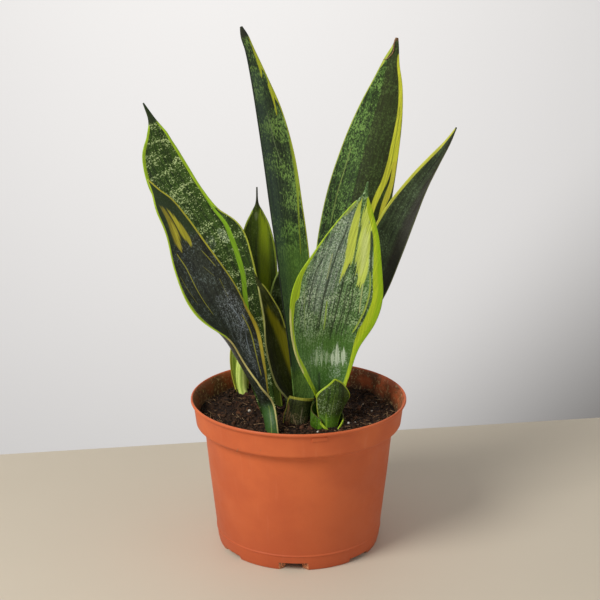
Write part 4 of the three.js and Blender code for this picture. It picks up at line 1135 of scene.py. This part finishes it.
# %% Paint the front right leaf
paint(
    "leaf_front_right",
    dict(seed=6, relief=0.3, deep=(46, 76, 34), mid=(96, 136, 68), pale=(134, 170, 104), band=0.3, pits=0.9,
        ridge=0.6, lines=0.5, speck=(186, 204, 160), dust=0.62, specks_from=0.06, gather=0.5,
        speck_size=(0.95, 1.4), sheen=0.36, grooves=0.75),
    zone((66, 110, 26), -20, 84, 14, share=0.7),
    # painted reflection: a soft grey-blue sheen on the upper left, where the waxy skin reflects the light
    mark((128, 142, 132), (104, -12, 3), (128, -13, 9), (150, -9, 7.5), (170, -5, 3.5), soft=5, share=0.28),
    specks((216, 224, 214), (100, -9, 6), (128, -11, 11), (150, -8, 9), (170, -5, 4), soft=3, share=0.75),
    specks((196, 212, 188), (84, -14, 3), (108, -20, 6), (130, -17, 7), (150, -11, 4), soft=4, share=0.85),
    specks((50, 60, 52), (146, -6.5, 1.6), (160, -5.4, 1.8), (172, -4, 1.4), soft=1.4, share=0.6),
    specks(WHITE, (92, -3, 4), (112, -1, 9), (128, -2, 8), (146, -6, 3), soft=3, share=0.35),
    specks((196, 210, 190), (53, 4.3, 5), (58, 4.8, 4.4), (62, 4.8, 1.6), soft=0.8, ragged=7, share=0.85),
    specks((216, 228, 206), (63, 7.4, 7.2), (67, 7.4, 7), (72, 7.4, 3.4), (77, 7, 0.8), soft=0.6, ragged=7),
    hatch((206, 222, 190), 0.75, (62, 3.2, 0.5), (66, 3.4, 1.3), (70, 3.6, 0.4)),
    hatch((206, 222, 190), 0.8, (61, 6.8, 0.6), (67, 7, 1.6), (75, 7.2, 0.5)),
    hatch((206, 222, 190), 0.75, (61, 11, 0.5), (67, 11.2, 1.5), (72, 11.6, 0.4)),
    hatch((178, 202, 156), 0.6, (62, -8.4, 0.4), (66, -8.2, 1.2), (71, -8, 0.4)),
    hatch((178, 202, 156), 0.6, (62, -4.6, 0.4), (66, -4.4, 1.1), (70, -4.4, 0.4)),
    hatch((178, 202, 156), 0.6, (63, -0.8, 0.4), (66, -0.6, 0.9), (70, -0.6, 0.4)),
    specks((186, 202, 176), (66, -6, 7), (70, -6.5, 6.5), (74, -7, 3), soft=0.8, ragged=8, share=0.95),
    # painted shade: a dark slit near the base, where the left margin folds over in front
    mark(DARK, (45, -7.6, 0.8), (56, -7, 0.7), soft=0.7, share=0.8),
    mark(DARK, (84, 9, 0.3), (108, 11, 0.45), (128, 8.2, 0.4), share=0.7),
    mark(DARK, (80, 1.6, 0.3), (108, 2.4, 0.6), (128, 1.6, 0.4), share=0.75),
    mark(DARK, (86, -7.4, 0.3), (112, -8.6, 0.6), (140, -8, 0.5), (162, -5.6, 0.3), share=0.75),
    mark(DARK, (100, -18, 0.3), (122, -19, 0.6), (140, -15.5, 0.4), share=0.6),
    mark(DARK, (84, 5.4, 0.3), (104, 6.6, 0.5), (122, 5.4, 0.4), share=0.65),
    mark(DARK, (90, -12, 0.3), (118, -15, 0.4), share=0.5),
    mark((168, 182, 124), (124, -9.8, 0.4), (140, -10.7, 0.5), share=0.75),
    mark((150, 182, 70), (88, -3.8, 0.4), (98, -4.6, 0.6), (108, -5.8, 0.5), share=0.9),
    mark((140, 166, 90), (87, -17.2, 0.25), (115, -23.7, 0.35), share=0.6),
    mark((186, 200, 128), (104, 18, 0.3), (115, 16.6, 0.5), (124, 15.6, 0.5), share=0.8),
    mark((198, 212, 80), (126, -0.4, 0.5), (132, 0.4, 1.3), (138, 1.4, 2.5), (152, -0.2, 3),
        (165, -1.3, 2.5), (175, -2.2, 1.2), (180, -2.6, 0.3), ragged=7, soft=0.5),
    mark((194, 210, 88), (125, 13.6, 2), (131, 12.6, 3.8), (144, 10.2, 4.7), (154, 8.4, 4.3),
        (166, 5.6, 3.3), (176, 2.6, 1.2), ragged=13, soft=0.5),
    mark((208, 220, 140), (134, 12, 1.4), (146, 10, 2.2), (160, 6.6, 1.2), soft=1.6, ragged=9, share=0.6),
    mark((96, 122, 46), (138, 5.4, 0.5), (152, 3.2, 0.4), (165, 1.8, 0.35), (173, 0.8, 0.25), soft=0.4,
        share=0.9),
    mark((46, 62, 42), (132, 8.6, 0.8), (150, 6.6, 0.9), (161, 5.2, 0.6), of="right", soft=0.5, share=0.85),
    mark((160, 178, 96), (168, 1.8, 0.8), (173, 1.6, 1.3), (178, 1, 1), of="left", soft=0.6, share=0.8),
    mark((160, 184, 66), (88, 10.6, 0.4), (98, 10.8, 0.6), (108, 10.3, 0.6), (122, 9.4, 0.5),
        (134, 8.8, 0.3), of="right"),
    mark(DARK, (86, 9.4, 0.3), (100, 9.4, 0.4), (122, 8.2, 0.4), of="right", share=0.75),
    margin("right", (172, 194, 26), (36, 2.4), (54, 2.6), (62, 2.8), (71, 3.9), (83, 6.4), (93, 8.2),
        (106, 7.9), (117, 7.2), (126, 7.3), (143, 5.8), (159, 4.3), (174, 4), (182, 1.6)),
    margin("right", (142, 176, 0), (60, 1), (83, 2.8), (100, 3.6), (126, 3.8), (150, 2.6), (174, 1.2),
        soft=1),
    margin("left", (162, 192, 24), (36, 2.6), (50, 3.4), (61, 3.9), (75, 2.6), (91, 2.6), (100, 3.3),
        (106, 3.7), (109, 5.9), (114, 5.4), (122, 3.5), (134, 1.8), (151, 0.8), (178, 0.7)),
    margin("left", (196, 196, 118), (60, 0.8), (88, 1.2), (100, 0.9), soft=0.7),
)

# %% Paint the right leaf and the two in the middle
paint(
    "leaf_right",
    dict(seed=7, deep=(36, 44, 26), mid=(54, 68, 40), pale=(68, 86, 52), band=0.3, pits=0.55,
        speck=(112, 134, 98), dust=0.4, specks_from=0.1, gather=0.3, tip=(236, 5, (66, 54, 40))),
    mark((42, 38, 30), (60, 10.5, 5.5), (150, 10.5, 5.5), (200, 7.5, 4), (235, 3, 2), soft=2.6, share=0.8),
    margin("left", (188, 190, 66), (60, 1.2), (150, 1.5), (180, 1.8), (215, 1.9), (228, 1.1), (236, 0.6)),
    margin("right", (96, 100, 62), (60, 0.4), (228, 0.4)),
)
paint(
    "leaf_centre",
    dict(seed=8, deep=(38, 42, 10), mid=(54, 60, 14), pale=(66, 72, 22), band=0.25, pits=0.4, dust=0.1),
    mark((134, 130, 20), (40, 8, 2), (55, 7.6, 3.6), (69, 6, 4), (82, 3, 3.6), (93, -1.4, 2.4),
        (100, -2.4, 1), soft=1.8, ragged=5, share=0.95),
    margin("right", (150, 136, 96), (40, 0.7), (80, 0.8)),
    margin("right", (184, 186, 74), (84, 0.9), (104, 0.9), (116, 0.7)),
    margin("left", (184, 186, 110), (26, 1.4), (40, 1.3), (60, 1), (116, 0.7)),
)
paint(
    "leaf_back_centre",
    dict(seed=9, deep=(34, 44, 22), mid=(52, 66, 30), pale=(84, 104, 50), band=0.5, pits=0.6, dust=0.4),
    margin("left", (150, 172, 84), (60, 0.7), (112, 0.9), (132, 0.7)),
    margin("right", (96, 110, 50), (60, 0.5), (132, 0.5)),
)


# %% Paint the sheaths
paint(
    "sheath_centre",
    dict(seed=10, relief=0.3, deep=(46, 52, 26), mid=(66, 74, 34), pale=(90, 98, 56), band=0.3, pits=0.8,
        dust=0.6, speck=(150, 150, 116), speck_size=(0.9, 1.1), tip=(35.9, 0.7, (178, 178, 66))),
    specks((196, 184, 158), (6, -2, 7), (16, -3.5, 6), (24, -6, 2.5), soft=1.8, share=0.95),
    specks((150, 122, 84), (3, 4, 6), (14, 3, 6), (24, 2, 3), soft=2.2, share=0.9),
    mark((176, 150, 112), (13, -7, 0.2), (20, -5, 0.5), (26, -5.5, 0.2), ragged=2, share=0.8),
    mark((176, 150, 112), (15, -1, 0.2), (20, 1, 0.45), (24, 3.5, 0.2), ragged=2, share=0.8),
    mark((150, 116, 76), (12, 4, 0.3), (18, 5, 0.8), (25, 5.5, 0.3), ragged=3, share=0.7),
    mark((190, 176, 140), (16, -4, 0.15), (24, -2, 0.3), (31, -1.5, 0.1), share=0.7),
    mark((150, 116, 76), (20, 7, 0.4), (27, 7.6, 0.9), (33, 8, 0.3), ragged=3, share=0.75),
    margin("left", (138, 112, 84), (4, 0.8), (20, 1.2), (36, 0.7)),
    margin("right", (178, 176, 60), (4, 0.8), (30, 0.9), (36, 1.2)),
)
paint(
    "sheath_right",
    dict(seed=11, relief=0.3, deep=(46, 66, 18), mid=(70, 98, 26), pale=(98, 120, 56), band=0.3, pits=0.8,
        speck=(168, 180, 146), dust=0.5, specks_from=0.085, gather=0.3, speck_size=(0.9, 1.2)),
    zone((96, 146, 34), 0, 27, 6, share=0.6),
    mark((150, 190, 60), (12, -4, 0.5), (20, -5.5, 0.6), (30, -8, 0.3), share=0.8),
    mark((150, 190, 60), (12, 2, 0.4), (22, 3, 0.5), (30, 4, 0.2), share=0.6),
    mark((128, 150, 60), (22, 0, 0.2), (34, 0.4, 0.3), (44, 0, 0.2), share=0.4),
    margin("left", (140, 140, 66), (20, 0.9), (40, 1)),
    margin("right", (150, 160, 54), (20, 0.9), (40, 1)),
    margin("left", (170, 192, 44), (41, 1.6), (48, 1.7), (54, 1.4)),
    margin("right", (166, 192, 42), (40, 1.5), (48, 1.8), (54, 1.4)),
)
paint(
    "sheath_right_outer",
    dict(seed=12, deep=(48, 78, 14), mid=(80, 122, 22), pale=(112, 156, 36), band=0.3, pits=0.6, dust=0.3),
    *margins((170, 196, 50), (0, 2.2), (10, 2.2), (16, 1.6)),
    *margins((84, 86, 40), (17, 0.6), (26, 0.6)),
)

# %% Paint the side shoot
# painted light: both leaves of the side shoot have their own lime raised to a near white-green, so they look
# lit where they stand in shade
paint(
    "pup_leaf_outer",
    dict(seed=13, deep=(196, 228, 92), mid=(228, 250, 124), pale=(234, 252, 140), band=0.3, pits=0.35,
        dust=0.15, tip=(78, 3, (120, 110, 50))),
    mark((46, 66, 20), (20, -1, 0.6), (40, -1, 0.8), (56, -0.6, 0.4), soft=0.8, share=0.7),
    margin("left", (186, 190, 66), (10, 1.1), (50, 1.2), (76, 0.8)),
    margin("right", (176, 190, 80), (10, 1), (50, 1.1), (76, 0.7)),
)
paint(
    "pup_leaf_inner",
    dict(seed=14, deep=(206, 236, 104), mid=(230, 250, 132), pale=(236, 252, 150), band=0.3, pits=0.15,
        dust=0.1),
    mark((104, 140, 34), (14, 0.2, 0.5), (40, 0.2, 0.6), (60, 0, 0.3), soft=0.7, share=0.6),
    *margins((196, 208, 96), (10, 0.9), (66, 0.8)),
)

# %% [markdown]
# ## Dry thread
# A thin brown thread of dried leaf hangs from the tip of the tall leaf on the right. It is a
# curve with a round section that gets thinner towards its loose end. Turning the curve into
# a mesh gives a closed piece like all the others.

# %% Dry thread
THREAD_PATH = [  # mm, from the leaf's tip to the loose end
    (65.2, 29.7, 348.8), (64.2, 29.0, 346.2), (63.9, 28.9, 343.6), (63.5, 29.3, 339.9),
    (61.3, 30.8, 336.6), (59.3, 32.0, 334.7), (57.2, 33.2, 334.2)]
THREAD_RADIUS, THREAD_TAPER = 0.5, 0.6  # at the leaf's tip, and the share that is gone at the end
path = bpy.data.curves.new("dry_thread_path", "CURVE")
path.dimensions = "3D"
path.bevel_depth = THREAD_RADIUS * MM
path.bevel_resolution = 2
path.resolution_u = 8
path.use_fill_caps = True
line = path.splines.new("BEZIER")
line.bezier_points.add(len(THREAD_PATH) - 1)
for k, spot in enumerate(THREAD_PATH):
    bend = line.bezier_points[k]
    bend.co = Vector(spot) * MM
    bend.handle_left_type = bend.handle_right_type = "AUTO"
    bend.radius = 1.0 - THREAD_TAPER * k / (len(THREAD_PATH) - 1)
drawn = bpy.data.objects.new("dry_thread_line", path)
bpy.context.scene.collection.objects.link(drawn)
graph = bpy.context.evaluated_depsgraph_get()
shape = bpy.data.meshes.new_from_object(drawn.evaluated_get(graph))
bpy.data.objects.remove(drawn)
thread = bpy.data.objects.new("dry_thread", shape)
bpy.context.scene.collection.objects.link(thread)
outward(thread, 1e-7)
thread.data.shade_smooth()
thread_finish = Finish("dry_leaf", 0.8)
thread_tone = thread_finish.noise(thread_finish.place(), 700.0, 3.0, 0.7)
thread_light = thread_finish.step(thread_tone, 0.35, 0.65)
thread_colour = thread_finish.mix(thread_light, seen(104, 74, 52), seen(166, 130, 98))
thread_finish.wire(Base_Color=thread_colour, Normal=thread_finish.bump(thread_tone, 0.15))
thread.data.materials.clear()
thread.data.materials.append(thread_finish.material)
print("dry_thread", len(thread.data.polygons), "faces")

# %% [markdown]
# ## Put each piece in its place
# Each piece rides on the frame's one body. A piece that stands for a plain node takes its
# place, and the box of the finished plant is printed.

# %% Ride, replace and measure
for made in (pot, tab):
    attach(made, "root")
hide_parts("pot")
for made in (soil, crumbs, lumps, chips, grains, hairs):
    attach(made, "root")
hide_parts("potting_soil")
for name, made in leaves.items():
    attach(made, "root")
    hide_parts(name)
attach(thread, "root")
low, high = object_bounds()
print("visual box, mm:", [round(v / MM, 1) for v in (*low, *high)])
